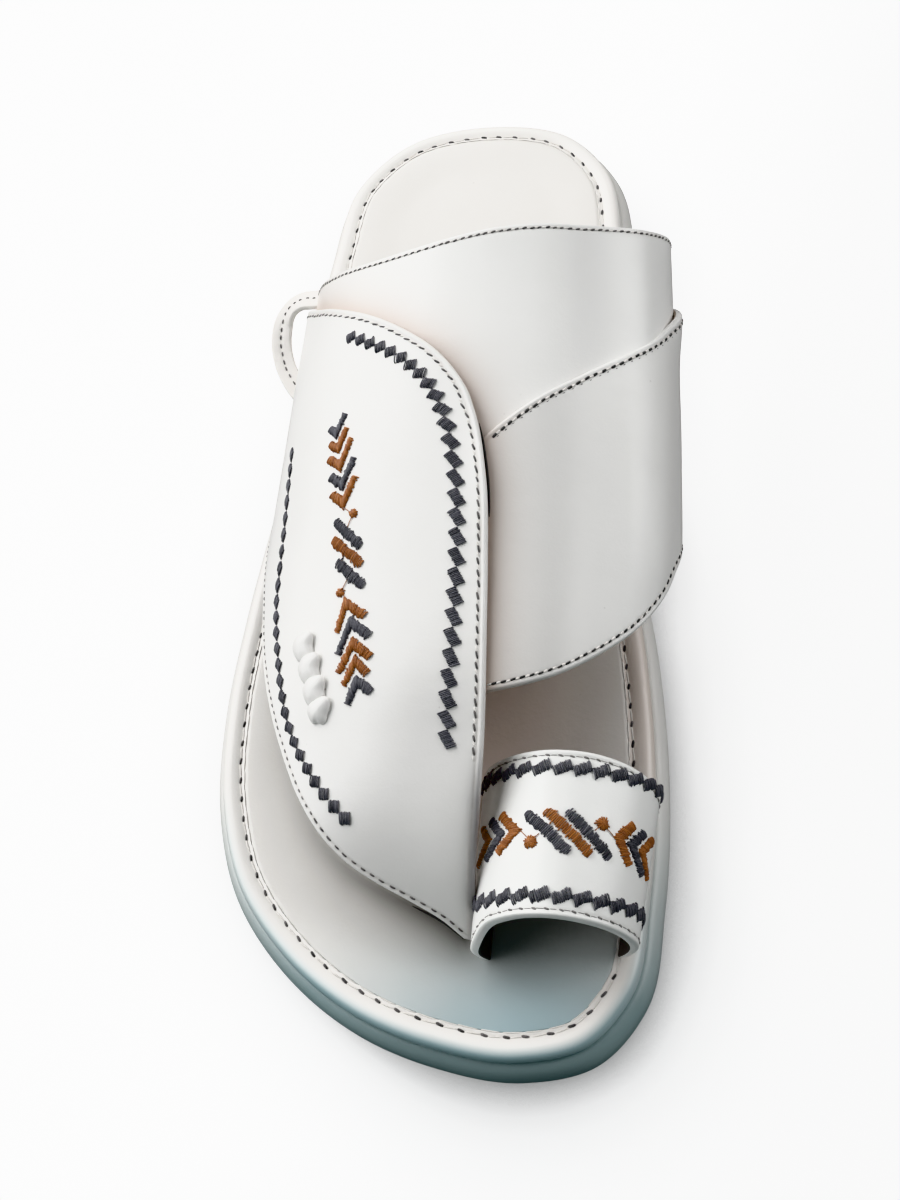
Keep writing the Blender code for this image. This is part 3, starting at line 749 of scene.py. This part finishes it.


# Painted bluish shade on the outsole's toe end, and wear along its bottom edge.
spots = spotsOf(outsolePiece)
spreadAttribute(outsolePiece, "coolShade", towardToe(spots))
scuffed = 1 - (spots[:, 2] - soleHeight("ground", spots[:, 1])) / sole["scuffHeight"]
spreadAttribute(outsolePiece, "groundWear", np.clip(scuffed, 0, 1))
spots = spotsOf(rimPiece)
away = nearest(spots[:, :2], soleRing(sole["stitchInset"], 400))
spreadAttribute(rimPiece, "seam", rimSizes["seamShade"] * bell(away / rimSizes["seamWidth"]))
# Painted bluish shade on the rim's outer edge at the toe.
outward = (coolShade["rimFrom"] - nearest(spots[:, :2], soleRing(0, 800))) / coolShade["rimReach"]
spreadAttribute(rimPiece, "coolShade", towardToe(spots) * np.clip(outward, 0, 1) ** 1.5)
# Painted warm shade on the rim's inner side.
innerSide = np.clip((spots[:, 0] - warmShade["rimAcross"]) / warmShade["rimBlend"], 0, 1)
innerSide *= bell((spots[:, 1] - warmShade["rimAlong"]) / warmShade["rimSpread"])
spreadAttribute(rimPiece, "warmShade", warmShade["bed"] * innerSide)
# On the footbed: painted bluish shade at the toe, painted warm shade behind the ring, and painted shadow
# under the wing's outer edge.
spots = spotsOf(insolePiece)
spreadAttribute(insolePiece, "coolShade", spotShare(spots, coolShade))
spreadAttribute(insolePiece, "warmShade", warmShade["bed"] * spotShare(spots, warmShade))
away = nearest(spots[:, :2], underEdge(*onEdge(freeOuter, 400).T)[:, :2])
depth = np.interp(spots[:, 1], *zip(*underTip["depths"]))
spreadAttribute(insolePiece, "deepShade", depth * np.exp(-((away / underTip["reach"]) ** 1.4)))
fineEdge = onEdge(edges["wingInner"], 900).T
wingRim = lifted(last, *fineEdge, panelSizes["low"] + panelSizes["wall"])
# Painted warm shadow under the wing's edge on the strap and the panel, and their painted satin bands.
for piece, name in ((strapPiece, "strap"), (panelPiece, "panel")):
    spots = spotsOf(piece)
    underWing = np.exp(-nearest(spots, wingRim) / warmShade["wingReach"])
    spreadAttribute(piece, "warmShade", warmShade["underWing"] * underWing)
    spreadAttribute(piece, "coolShade", bandShare(spots, coolBands[name]))
# Painted shade on the wing where it presses on the ring, and its painted shade band.
spots = spotsOf(wingPiece)
away = nearest(spots, lifted(last, *fineEdge, faceOf(wingSizes, *fineEdge)))
byRing = np.clip((crevice["from"] - spots[:, 1]) / crevice["blend"], 0, 1)
pressed = crevice["depth"] * byRing * np.exp(-((away / crevice["reach"]) ** 1.5))
spreadAttribute(wingPiece, "coolShade", pressed + bandShare(spots, coolBands["wing"]))


class Line:  # a line drawn on a form, with places in millimetres down it and beside it
    def __init__(self, form, points):
        self.form, self.track = form, onEdge(points, 500)
        girth, along = self.track.T
        around = aroundForm(form, girth, along)
        ahead = onForm(form, girth, along + 0.5) - onForm(form, girth, along - 0.5)
        e, f, h = (around * around).sum(1), (around * ahead).sum(1), (ahead * ahead).sum(1)
        du, dv = np.gradient(self.track, axis=0).T
        size = np.sqrt(e * h - f * f) * np.sqrt(e * du * du + 2 * f * du * dv + h * dv * dv)
        self.side = np.column_stack([-(f * du + h * dv), e * du + f * dv]) / size[:, None]
        self.down = lengthsTo(onForm(form, girth, along))
        self.length = self.down[-1]

    def place(self, down, beside):
        # girth and along of places this far down the line, and this far to its left
        down, beside = np.broadcast_arrays(np.asarray(down, float), np.asarray(beside, float))
        track, side = (readOff(down, self.down, values) for values in (self.track, self.side))
        return np.moveaxis(track + beside[..., None] * side, -1, 0)


def addTubes(name, paths, above, radii, finishKey, tones, flat=1):
    # one closed tube for each path: paths and above are (tubes, stops, 3), radii (tubes, stops)
    (count, stops), sides = paths.shape[:2], 6
    ahead = unit(np.gradient(paths, axis=1))
    across = unit(np.cross(ahead, above))
    up = np.cross(across, ahead)
    turn = np.arange(sides)[:, None] * 2 * np.pi / sides
    ring = np.cos(turn) * across[:, :, None] + flat * np.sin(turn) * up[:, :, None]
    points = (paths[:, :, None] + radii[..., None, None] * ring).reshape(-1, 3)
    start, end = np.arange(count)[:, None] * stops * sides, np.arange(sides)
    quads = (start[..., None] + ringFaces(stops, sides)[:, ::-1]).reshape(-1, 4)
    faces = [*quads, *(start + end), *(start + stops * sides - 1 - end)]
    made = addObject(name, points, faces, finishKey)
    spreadAttribute(made, "stitchTone", np.repeat(tones, stops * sides))
    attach(made, bodyName)
    return made


# Machine stitches: short threads whose ends dip into their holes. Their dark dashes are partly dark thread
# and partly painted shade where the thread sinks into the holes; the pale threads laid between some of them
# are the thread on top.
stitchStops = np.array([0, 0.08, 0.25, 0.5, 0.75, 0.92, 1])
stitchRise = np.array([-0.9, -0.1, 0.75, 1, 0.75, -0.1, -0.9])
stitchGirth = np.array([0.6, 0.9, 1, 1, 1, 0.9, 0.6])
unevenness = {"pitch": 0.04, "length": 0.07, "lean": 0.05, "radius": 0.05}


def seamStitches(name, track, above, look, seed, finishKey):
    # track and above: dense points along the seam and the surface's direction there
    random = np.random.default_rng(seed)
    down = lengthsTo(track)
    reach = down[-1] - look["start"] - look["stop"]
    count = int(reach / look["pitch"])
    pitch = reach / count
    first = look["start"] + look.get("phase", 0) * pitch + pitch * np.arange(count)
    first = first + random.normal(0, unevenness["pitch"] * pitch, count)
    length = look["length"] * (1 + random.normal(0, unevenness["length"], count))
    at = first[:, None] + length[:, None] * stitchStops
    paths, up = readOff(at, down, track), readOff(at, down, above)
    across = np.cross(unit(np.gradient(paths, axis=1)), up)
    turned = random.normal(0, unevenness["lean"], count)[:, None]
    lean = look.get("lean", 0) * (stitchStops - 0.5) + turned
    paths = paths + up * (look["rise"] * stitchRise)[:, None] + across * lean[..., None]
    radii = look["radius"] * stitchGirth * (1 + random.normal(0, unevenness["radius"], count))[:, None]
    addTubes(name, paths, up, radii, finishKey, random.random(count), flat=0.8)


def onFace(line, sizes, spots, lift):
    # (down, beside) places of a line, lifted off a panel's outer face, and the surface's direction there
    girth, along = line.place(*spots)
    face = faceOf(sizes, girth, along) + lift
    return lifted(line.form, girth, along, face), formNormal(line.form, girth, along)


def threadSpots(ends, stops):  # from one end of each thread to the other
    return np.moveaxis(ends[:, :1] + (ends[:, 1:] - ends[:, :1]) * stops[:, None], -1, 0)


bedStitches = {"pitch": 5.1, "length": 1.6, "radius": 0.33, "rise": 0.12, "start": 0, "stop": 0, "lean": 0.35}
bedThread = dict(bedStitches, length=3.5, radius=0.17, rise=0.1, phase=0.32, lean=-0.25)
bedPucker = dict(bedStitches, length=4.6, radius=0.16, rise=0.08, phase=0.08, lean=0.1)
bedSeams = {  # how far inside the stitch line, how deep in the rim, the stitches and their thread
    "footbed_stitches": (0, 0.2, bedStitches, "seamBed"),
    "footbed_thread": (0, 0.2, bedThread, "pale"),
    "footbed_edge_thread": (0.95, 0.06, bedPucker, "pale"),
}
for seed, (name, (inward, sunk, look, finishKey)) in enumerate(bedSeams.items(), 3):
    ring = soleRing(sole["stitchInset"] + inward, 400)
    ring = np.vstack([ring, ring[:1]])
    track = np.column_stack([ring, soleHeight("bed", ring[:, 1]) - sunk])
    seamStitches(name, track, np.tile((0, 0, 1), (len(track), 1)), look, seed, finishKey)


def stitches(pitch, length, radius, **other):
    look = {"pitch": pitch, "length": length, "radius": radius, "rise": 0.16, "start": 1.5, "stop": 1.5}
    return look | other


# Each upper seam: the line that it follows, how far inside, its stitches and their thread.
tipReach = 42  # the outer edge's seam is stronger this far from the tip
afterTip = Line(last, freeOuter).length - tipReach
upperSeams = {
    "strap_rear": (edges["strapRear"], strapSizes, -1.5, stitches(1.9, 1.15, 0.25, lean=-0.25), "seamGrey"),
    "panel_rear": (edges["panelRear"][2:], panelSizes, -1.7, stitches(2.4, 1.4, 0.34, lean=-0.2), "darkThreadAndShadow"),
    "panel_rear_fine": (edges["panelRear"][2:], panelSizes, -2.35,
                        stitches(2.4, 0.7, 0.14, rise=0.06, phase=0.35), "seamGrey"),
    "panel_front": (edges["panelFront"][1:], panelSizes, 1.6,
                    stitches(2.2, 1.35, 0.28, lean=-0.2), "darkThreadAndShadow"),
    "wing_inner": (freeInner, wingSizes, -2, stitches(2.7, 1.9, 0.26, lean=-0.45, stop=45), "seamGrey"),
    "wing_outer_toe": (freeOuter, wingSizes, -1.5, stitches(2.6, 1.45, 0.23, stop=afterTip), "seamGrey"),
    "wing_outer": (freeOuter, wingSizes, -1.5, stitches(2.1, 0.95, 0.2, start=tipReach), "seamFaint"),
    "ring_rear": (edges["ringRear"], ringSizes, -1.7, stitches(2.9, 1.15, 0.23, lean=0.3), "seamFaint"),
    "ring_front": (edges["ringFront"], ringSizes, 1.7, stitches(2.9, 1.15, 0.23, lean=0.3), "seamFaint"),
}
for number, (name, (edge, sizes, inset, look, finishKey)) in enumerate(upperSeams.items()):
    line = Line(sizes["form"], edge)
    track, above = onFace(line, sizes, (np.arange(0, line.length, 0.25), inset), -sizes["seamDepth"])
    seamStitches(f"{name}_stitches", track, above, look, 20 + number, finishKey)
    if name.startswith("ring"):
        fine = stitches(2.9, 1.7, 0.09, rise=0.06, phase=0.38)
        seamStitches(f"{name}_thread", track, above, fine, 40 + number, finishKey)
    elif "fine" not in name and "wing_outer" not in name:
        beads = dict(look, length=look["pitch"] - 0.8 * look["length"], radius=0.85 * look["radius"],
                     rise=0.6 * look["rise"], phase=0.9 * look["length"] / look["pitch"])
        seamStitches(f"{name}_beads", track, above, beads, 40 + number, "pale")

# The wing stands off the panel a little; a thin dark tube at the foot of its edge is the painted shadow in
# that gap.
gapLine = {"rear": 142, "front": 120, "beside": 0.2, "lift": 0.25, "radius": 0.36, "stops": 50}
line = Line(last, freeInner)
ends = np.interp([-gapLine["rear"], -gapLine["front"]], -line.track[:, 1], line.down)
share = np.linspace(0, 1, gapLine["stops"])
spots = ends[0] + share * (ends[1] - ends[0]), gapLine["beside"]
track, above = onFace(line, panelSizes, spots, gapLine["lift"])
radii = gapLine["radius"] * np.sqrt(np.sin(np.pi * (0.02 + 0.96 * share)))
addTubes("wing_edge_gap_shadow", track[None], above[None], radii[None], "darkThreadAndShadow", np.zeros(1))
# Painted shadow at the wing's tip: a dark tube where its outer edge comes down to the footbed.
girth, along = Line(last, freeOuter).place(underTip["gapLength"] * share, 0)
track = underEdge(girth, along) + (0, 0, underTip["gapLift"])
radii = underTip["gapRadius"] * np.sqrt(1 - 0.98 * share)
above = np.tile((0, 0, 1), (len(track), 1))
addTubes("wing_tip_gap_shadow", track[None], above[None], radii[None], "darkThreadAndShadow", np.zeros(1))
centre, _, above = stripFrame(loopSizes["path"], 400)
centre += above * (loopSizes["thickness"] / 2 - 0.1)
seamStitches("pull_loop_stitches", centre, above, stitches(2.3, 1.2, 0.22), 50, "seamGrey")
print("seams stitched")

# Satin embroidery. A shape is a set of threads, each from one place beside a line to another.
satin = {"spacing": 0.4, "radius": 0.2, "rise": 0.42, "fullReach": 1.6, "uneven": 0.12, "drift": 0.04,
         "point": 0.4, "narrow": 0.88, "slant": 8, "tip": 0.32, "shortest": 0.3}
satinStops = np.array([0, 0.03, 0.13, 0.5, 0.87, 0.97, 1])
satinArch = np.array([-0.6, 0.2, 0.75, 1, 0.75, 0.2, -0.6])
satinGirth = np.array([0.7, 0.95, 1, 1, 1, 0.95, 0.7])


def threadShares(length, first=0.5):  # where each thread lies on a length filled with them
    count = max(3, round(length / satin["spacing"]))
    return ((np.arange(count) + first) / count)[:, None]


def bandThreads(start, stop, width):
    # threads laid across a band between two places, shorter towards its rounded ends
    length = np.linalg.norm(stop - start)
    ahead = (stop - start) / length
    t = threadShares(length)
    fromEnd = np.minimum(t, 1 - t) * length
    half = satin["narrow"] * width / 2 * rounding(fromEnd, width * satin["tip"])
    turn = math.radians(90 + satin["slant"])
    across = np.array([ahead[0] * math.cos(turn) - ahead[1] * math.sin(turn),
                       ahead[0] * math.sin(turn) + ahead[1] * math.cos(turn)])
    reach = np.maximum(half, satin["shortest"]) * across
    middle = start + t * length * ahead
    return np.stack([middle - reach, middle + reach], 1)


def arrowThreads(point, ends, widths):
    # two arms mitred at a sharp point, threads laid from their outer to their inner side
    toward = unit(ends - point)
    middle = unit(toward.sum(0))
    apex = point - satin["point"] * middle
    aside = np.column_stack([-toward[:, 1], toward[:, 0]])
    aside *= -np.sign(aside @ middle)[:, None] * satin["narrow"] * np.array(widths)[:, None] / 2
    outer, inner = ends + aside, ends - aside
    first, second = outer - apex
    notch = inner[0] + first * np.linalg.solve(np.column_stack([first, -second]), inner[1] - inner[0])[0]
    groups = []
    for far, near in zip(outer - apex, inner - notch):
        t = threadShares(np.linalg.norm(far), 0.3)
        groups.append(np.stack([apex + t * far, notch + t * near], 1))
    return groups


def blockThreads(corner, stack, reach):
    # threads along reach, stacked along a block's other side
    first = corner + threadShares(np.linalg.norm(stack)) * stack
    return np.stack([first, first + reach], 1)


def embroider(name, line, sizes, groups, finishKey, seed, jitter):
    # lays every thread on the form, arched over the leather, with its ends drawn into it
    random = np.random.default_rng(seed)
    ends = np.concatenate(groups)
    ahead = ends[:, 1] - ends[:, 0]
    reach = np.linalg.norm(ahead, axis=1)
    ends = ends + random.normal(0, satin["drift"], ends.shape)
    ends = ends + random.normal(0, jitter, ends.shape[:2])[..., None] * unit(ahead)[:, None]
    rise = satin["rise"] * np.clip(reach / satin["fullReach"], 0.5, 1.1)
    rise = rise * (1 + random.normal(0, satin["uneven"], len(ends)))
    paths, above = onFace(line, sizes, threadSpots(ends, satinStops), rise[:, None] * satinArch)
    radii = np.tile(satin["radius"] * satinGirth, (len(ends), 1))
    made = addTubes(name, paths, above, radii, finishKey, random.random(len(ends)))


diamondColumns = "down pitch cross skew"
diamondRows = {
    "inner": {
        "line": [(0.303, 171), (0.319, 169.5), (0.354, 165.9), (0.386, 162.5), (0.416, 158.5), (0.443, 153.5),
                 (0.464, 147), (0.477, 138.9), (0.483, 130), (0.484, 118.7), (0.481, 101.8), (0.477, 88),
                 (0.474, 79.2), (0.475, 66)],
        "shape": columns(diamondColumns, [(0, 3.37, 1.9, 10), (26, 3.42, 2.1, 10), (38, 4.15, 2.5, 26),
                                          (50, 4.67, 2.65, 34), (75, 4.81, 2.65, 34), (115, 4.55, 2.6, 34)]),
        "start": 1.6, "count": 28,
    },
    "outer": {
        "line": [(0.185, 150), (0.187, 147.2), (0.19, 138.2), (0.193, 129.2), (0.194, 118), (0.195, 107.7),
                 (0.205, 99.3), (0.219, 90.9), (0.241, 79), (0.258, 72.4), (0.282, 65.9), (0.308, 60.2),
                 (0.337, 55.2), (0.372, 50.2)],
        "shape": columns(diamondColumns, [(0, 4.5, 0.85, -14), (30, 4.5, 1.1, -12), (60, 4.25, 1.1, -8),
                                          (78, 3.8, 1.4, -4), (95, 3.65, 1.8, 0), (110, 3.8, 2.15, 2)]),
        "start": 0.6, "count": 25,
    },
}


def diamondRow(name, row, seed):
    # rhombs that touch at their corners
    groups, down, shape = [], row["start"], row["shape"]
    for _ in range(row["count"]):
        pitch, cross, skew = (np.interp(down, shape["down"], shape[k]) for k in ("pitch", "cross", "skew"))
        tip, turn = np.array([pitch / 2, 0]), math.radians(skew)
        wing = cross * np.array([math.sin(turn), math.cos(turn)])
        groups.append(blockThreads(np.array([down, 0]) + tip - wing, wing + tip, wing - tip))
        down += pitch
    embroider(name, Line(last, row["line"]), wingSizes, groups, "slate", seed, 0.06)


diamondRow("inner_diamonds", diamondRows["inner"], 51)
diamondRow("outer_diamonds", diamondRows["outer"], 52)

# The motifs: each row but a jump's begins with its thread, then come places down an axis and beside it.
# An arrow has its point, the ends of its two arms and their widths, a bar its two ends and its width,
# a dot its middle and a jump its two ends.
wingMotif = {
    "line": [(0.31, 155), (0.322, 135), (0.336, 115), (0.35, 95), (0.362, 75)],
    "arrows": [
        (0, 11.3, -1.6, 8.3, -3.7, 5.6, 1.4, 2.3, 1.6), (1, 15.4, -1, 12.6, -3.8, 9.5, 1.7, 2.3, 1.7),
        (1, 20.3, -0.5, 16.3, -4.2, 12.5, 3, 2.4, 1.7), (0, 25.4, -0.2, 21.1, -3.6, 17.8, 3.6, 2.5, 1.8),
        (1, 30.3, -0.1, 25.8, -3.5, 22.7, 3.6, 2.5, 1.8), (1, 53, -1.2, 61.3, -4, 58.5, 3.7, 1.6, 2.4),
        (0, 58, 0, 66.6, -4, 63.4, 4.6, 1.7, 2.7), (1, 63.2, 0.3, 71.1, -4, 68.5, 4.4, 1.8, 2.5),
        (1, 67.6, 0.7, 74.2, -2.9, 72.1, 3.5, 1.6, 2.2), (0, 72.3, 0.6, 78.6, -2.1, 76.4, 4.2, 1.8, 2.5),
    ],
    "bars": [
        (0, 33, -2.8, 41, 3.9, 2.8), (1, 37.6, -3.7, 45.5, 3.9, 2.8), (0, 43.5, -3, 51, 4, 2.9),
    ],
    "dots": [(1, 32.3, 2.6), (1, 51.4, -2.4)],
    "jumps": [
        (30.4, 0.2, 32.2, 2.2), (32.6, 2.4, 35.4, 0.6), (38.1, -1, 39.4, -1.9), (42.6, -1.1, 44.6, -2),
        (48.4, -0.2, 50.9, -1.9), (51.6, -2, 53.2, -0.9),
    ],
    "dotSize": 2.2,
}
ringMotif = {
    "line": [(0.02, 49), (0.2, 49.2), (0.5, 49.8), (0.8, 48.6), (0.98, 47)],
    "arrows": [
        (1, 19.9, -0.2, 15.6, 3.5, 14.1, -5, 2, 1.8), (0, 24.4, 0.3, 19.8, 4.3, 18.4, -4.8, 2.3, 2.1),
        (1, 28.6, 0.3, 23.5, 4.7, 22.6, -4, 2.5, 2.3), (1, 48.6, 0.7, 52.8, 4.7, 52.9, -4.5, 2.4, 2.3),
        (0, 52.1, 0.2, 56.2, 4.4, 57.7, -5.2, 2.3, 2.2), (1, 55.5, 0.1, 60, 4.1, 60.7, -5.1, 2.2, 1.9),
    ],
    "bars": [
        (0, 30.1, 3.9, 38.8, -4.9, 2.6), (1, 34, 4.2, 43.3, -4.6, 2.6), (0, 37.9, 4.3, 47.8, -4.4, 2.6),
    ],
    "dots": [(1, 31.2, -2.7), (1, 45.5, 2.8)],
    "jumps": [
        (28.8, 0.2, 31, -2.2), (31.6, -2.4, 33, -1), (45.2, 2.6, 43.8, 0.9), (45.8, 2.4, 48.4, 0.4),
    ],
    "dotSize": 3,
}
motifThreads = ("slate", "rust")
jumpLook = {"radius": 0.11, "low": 0.12, "arch": 0.15, "tone": 0.4}


def starThreads(middle, size, spikes=9):
    # short threads crossing at one place
    turn = (np.arange(spikes) + 0.3) * np.pi / spikes
    reach = np.column_stack([np.cos(turn), np.sin(turn)]) * size / 2
    return np.stack([middle - reach, middle + reach], 1)


def motif(name, sizes, chart, seed):
    groups = {0: [], 1: []}
    for which, *places, outer, inner in chart["arrows"]:
        point, *ends = np.reshape(places, (3, 2))
        groups[which] += arrowThreads(point, ends, (outer, inner))
    for which, *places, width in chart["bars"]:
        groups[which].append(bandThreads(*np.reshape(places, (2, 2)), width))
    for which, *middle in chart["dots"]:
        groups[which].append(starThreads(middle, chart["dotSize"]))
    line = Line(sizes["form"], chart["line"])
    for which, made in groups.items():
        key = motifThreads[which]
        embroider(f"{name}_{key}", line, sizes, made, key, seed + which, 0.17)
    stops = np.linspace(0, 1, 7)
    spots = threadSpots(np.reshape(chart["jumps"], (-1, 2, 2)), stops)
    paths, above = onFace(line, sizes, spots, jumpLook["low"] + jumpLook["arch"] * np.sin(np.pi * stops))
    radii, tones = np.full(paths.shape[:2], jumpLook["radius"]), np.full(len(paths), jumpLook["tone"])
    addTubes(f"{name}_jumps", paths, above, radii, "rust", tones)


motif("wing_motif", wingSizes, wingMotif, 61)
motif("ring_motif", ringSizes, ringMotif, 65)

stepRows = {"rear": 64, "front": 35.5, "pitch": 4.05, "from": 12.6, "to": 66,
            "stack": np.array([3.65, 1.8]), "reach": np.array([0.7, -2.25])}
for seed, name in enumerate(("rear", "front"), 71):
    line = Line(toeForm, [(g, stepRows[name]) for g in (0.02, 0.3, 0.5, 0.7, 0.98)])
    stack, reach = stepRows["stack"], stepRows["reach"]
    stops = np.arange(stepRows["from"], stepRows["to"], stepRows["pitch"])
    blocks = [blockThreads((s, 0) - (stack + reach) / 2, stack, reach) for s in stops]
    embroider(f"ring_steps_{name}", line, ringSizes, blocks, "slate", seed, 0.13)
print("embroidery laid")

# Lace twist: puffed turns of lace, each lapping over the end of the one before.
twist = {
    "line": [(0.262, 99), (0.281, 89), (0.295, 80), (0.309, 70)],
    "middles": [(6.3, 0.1), (12.1, 0.7), (17.8, 1.1), (22.9, 1.5)],  # down the line and beside it
    "turn": [(3.7, -2.5), (2.4, -3.2), (0.7, -3.5), (-1.2, -3.1), (-2.5, -1.9), (-3.3, -0.5), (-3.4, 1.2),
             (-3.1, 3), (-1.9, 3.6), (-0.8, 3.3), (0.7, 2.7), (2.6, 2.4), (4, 1.6), (4.4, -0.4)],
    "lastTurn": [(2.6, -2.5), (1.1, -3.3), (-1.2, -3.2), (-2.3, -2.2), (-2.8, -0.6), (-3.2, 1), (-3.1, 2.6),
                 (-2.2, 3.4), (-1.2, 3.3), (-0.2, 2.9), (1.2, 1.9), (2.7, 1.1), (3.3, 0), (2.7, -1.1)],
    "height": 1.6, "depth": 0.45, "tilt": 0.16, "lift": 0.55, "ridge": 0.08, "rings": 14, "around": 72,
    "scale": 0.93,
}


def laceTurn(line, middle, outline, start):
    # a closed cushion over its outline, its upper end raised onto the turn before it
    rings, around = twist["rings"], twist["around"]
    share = np.sin(np.linspace(0, 1, rings + 1)[1:] * np.pi / 2)[:, None]
    down, beside = np.moveaxis(share[..., None] * twist["scale"] * smoothCurve(outline, around, True), -1, 0)
    cap = np.sqrt(np.clip(1 - share**2, 0, 1))
    ridge = twist["ridge"] * bell((down * 0.65 + beside * 0.76) / 1.3) * cap
    raised = twist["lift"] - twist["tilt"] * down
    girth, along = line.place(middle[0] + down, middle[1] + beside)
    face = faceOf(wingSizes, girth, along) + raised
    g, a = line.place(*middle)
    level = faceOf(wingSizes, g, a) + twist["lift"]
    points = [lifted(last, girth, along, face + twist["height"] * cap + ridge),
              lifted(last, girth, along, face - twist["depth"] * cap),
              lifted(last, g, a, level + twist["height"] + twist["ridge"]),
              lifted(last, g, a, level - twist["depth"])]
    count, fan, faces = rings * around, np.arange(around), []
    for first, pole, order in ((0, 2 * count, 1), (count, 2 * count + 1, -1)):
        closing = np.column_stack([np.full(around, pole - first), np.roll(fan, -1), fan])
        faces += [start + first + f[::order] for f in (*ringFaces(rings, around), *closing)]
    return np.vstack([p.reshape(-1, 3) for p in points]), faces


twistLine = Line(last, twist["line"])
points, faces = [], []
for middle in twist["middles"]:
    outline = twist["lastTurn" if middle == twist["middles"][-1] else "turn"]
    turnPoints, turnFaces = laceTurn(twistLine, middle, outline, sum(map(len, points)))
    points.append(turnPoints)
    faces += turnFaces
twistPiece = addObject("twisted_lace", np.vstack(points), faces, "lace")
weld(twistPiece)
print("lace twist made")

for piece, node, slot in (
    (outsolePiece, "outsole", "sole_rubber"),
    (rimPiece, "midsole", "rim_leather"),
    (insolePiece, "insole", "insole_leather"),
    (strapPiece, "upper", "upper_leather"),
    (panelPiece, "upper", "upper_leather"),
    (wingPiece, "upper", "upper_leather"),
    (ringPiece, "toe_ring", "ring_leather"),
    (loopPiece, "pull_loop", "loop_leather"),
    (twistPiece, "lace_twist", "lace_leather"),
):
    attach(piece, bodyName)
    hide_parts(node)
print("pieces joined to the model")

# Floor, lights and camera.
studio = {
    "cameraAt": (61.5, -25.6, 319),  # in the shoe's own axes
    "cameraTurns": [("X", 25.7), ("Y", 10.5), ("X", 0.1)],
    "lens": 38,
    "floorSize": 8,
    "floorTone": (0.5, 0.5, 0.5),
    # floorGlow: the floor's painted light, its painted shade past the toe and the reach of its painted
    # contact shadow
    "floorGlow": {"far": 2.7, "near": 1.3, "from": 0.08, "to": -0.02, "lean": -0.35, "contact": 0.03},
    "sky": [("X", 1, (0.12, 0.12, 0.12)), ("Y", -1, (0.17, 0.2, 0.2)), ("Z", 1, (0.02, 0.02, 0.02))],
    "lampAim": (0, 0, 0.03),
    "lamps": {  # place, size and power
        "key_lamp": ((-0.45, 0.6, 0.55), (0.8, 0.8), 6.7),
        "left_lamp": ((-0.75, 0.07, 0.57), (1, 1), 9.3),
        "right_lamp": ((0.9, 0.2, 0.5), (0.5, 0.8), 4.9),
        "back_lamp": ((0.45, 0.4, 0.7), (0.5, 0.5), 0.8),
    },
}


def addFloor():
    mesh = bpy.data.meshes.new("studio_floor")
    corners = np.array([(-1, -1, 0), (1, -1, 0), (1, 1, 0), (-1, 1, 0)]) * studio["floorSize"] / 2
    mesh.from_pydata(corners.tolist(), [], [(0, 1, 2, 3)])
    mesh.materials.append(floorPaint())
    made = stand("studio_floor", mesh)
    made.visible_diffuse = False  # its white doesn't light the sole's walls from below
    made.visible_glossy = False


def addCamera():
    camera = bpy.data.cameras.new("camera")
    camera.lens = studio["lens"]
    camera.sensor_width = 36
    camera.clip_start = 0.01
    made = stand("camera", camera)
    made.location = (np.array(studio["cameraAt"]) + shoeShift) * mm
    turn = Matrix()
    for axis, degrees in studio["cameraTurns"]:
        turn = turn @ Matrix.Rotation(math.radians(degrees), 4, axis)
    made.rotation_euler = turn.to_euler()
    bpy.context.scene.camera = made


def addSky():
    # light from all round, each side with its own colour
    world = bpy.data.worlds.new("studio")
    bpy.context.scene.world = world
    world.use_nodes = True
    nodes = Nodes(world.node_tree)
    way, total = nodes.place("Generated"), (0, 0, 0)
    for axis, sign, colour in studio["sky"]:
        part = {0: nodes.axis(way, axis), 1: sign}
        part = nodes.node("ShaderNodeMath", {"operation": "MULTIPLY", "use_clamp": True}, part)
        tint = nodes.node("ShaderNodeVectorMath", {"operation": "SCALE"}, {0: colour, "Scale": part})
        total = nodes.node("ShaderNodeVectorMath", {"operation": "ADD"}, {0: total, 1: tint})
    nodes.put(nodes.tree.nodes["Background"].inputs["Color"], total)


def addLamp(name, at, size, power):
    lamp = bpy.data.lights.new(name, "AREA")
    lamp.shape = "RECTANGLE"
    lamp.size, lamp.size_y = size
    lamp.energy = power
    made = stand(name, lamp)
    made.location = at
    made.rotation_euler = (Vector(studio["lampAim"]) - Vector(at)).to_track_quat("-Z", "Y").to_euler()


addFloor()
addCamera()
addSky()
for name, lamp in studio["lamps"].items():
    addLamp(name, *lamp)
bpy.context.scene.view_settings.view_transform = "Khronos PBR Neutral"
print("studio made")
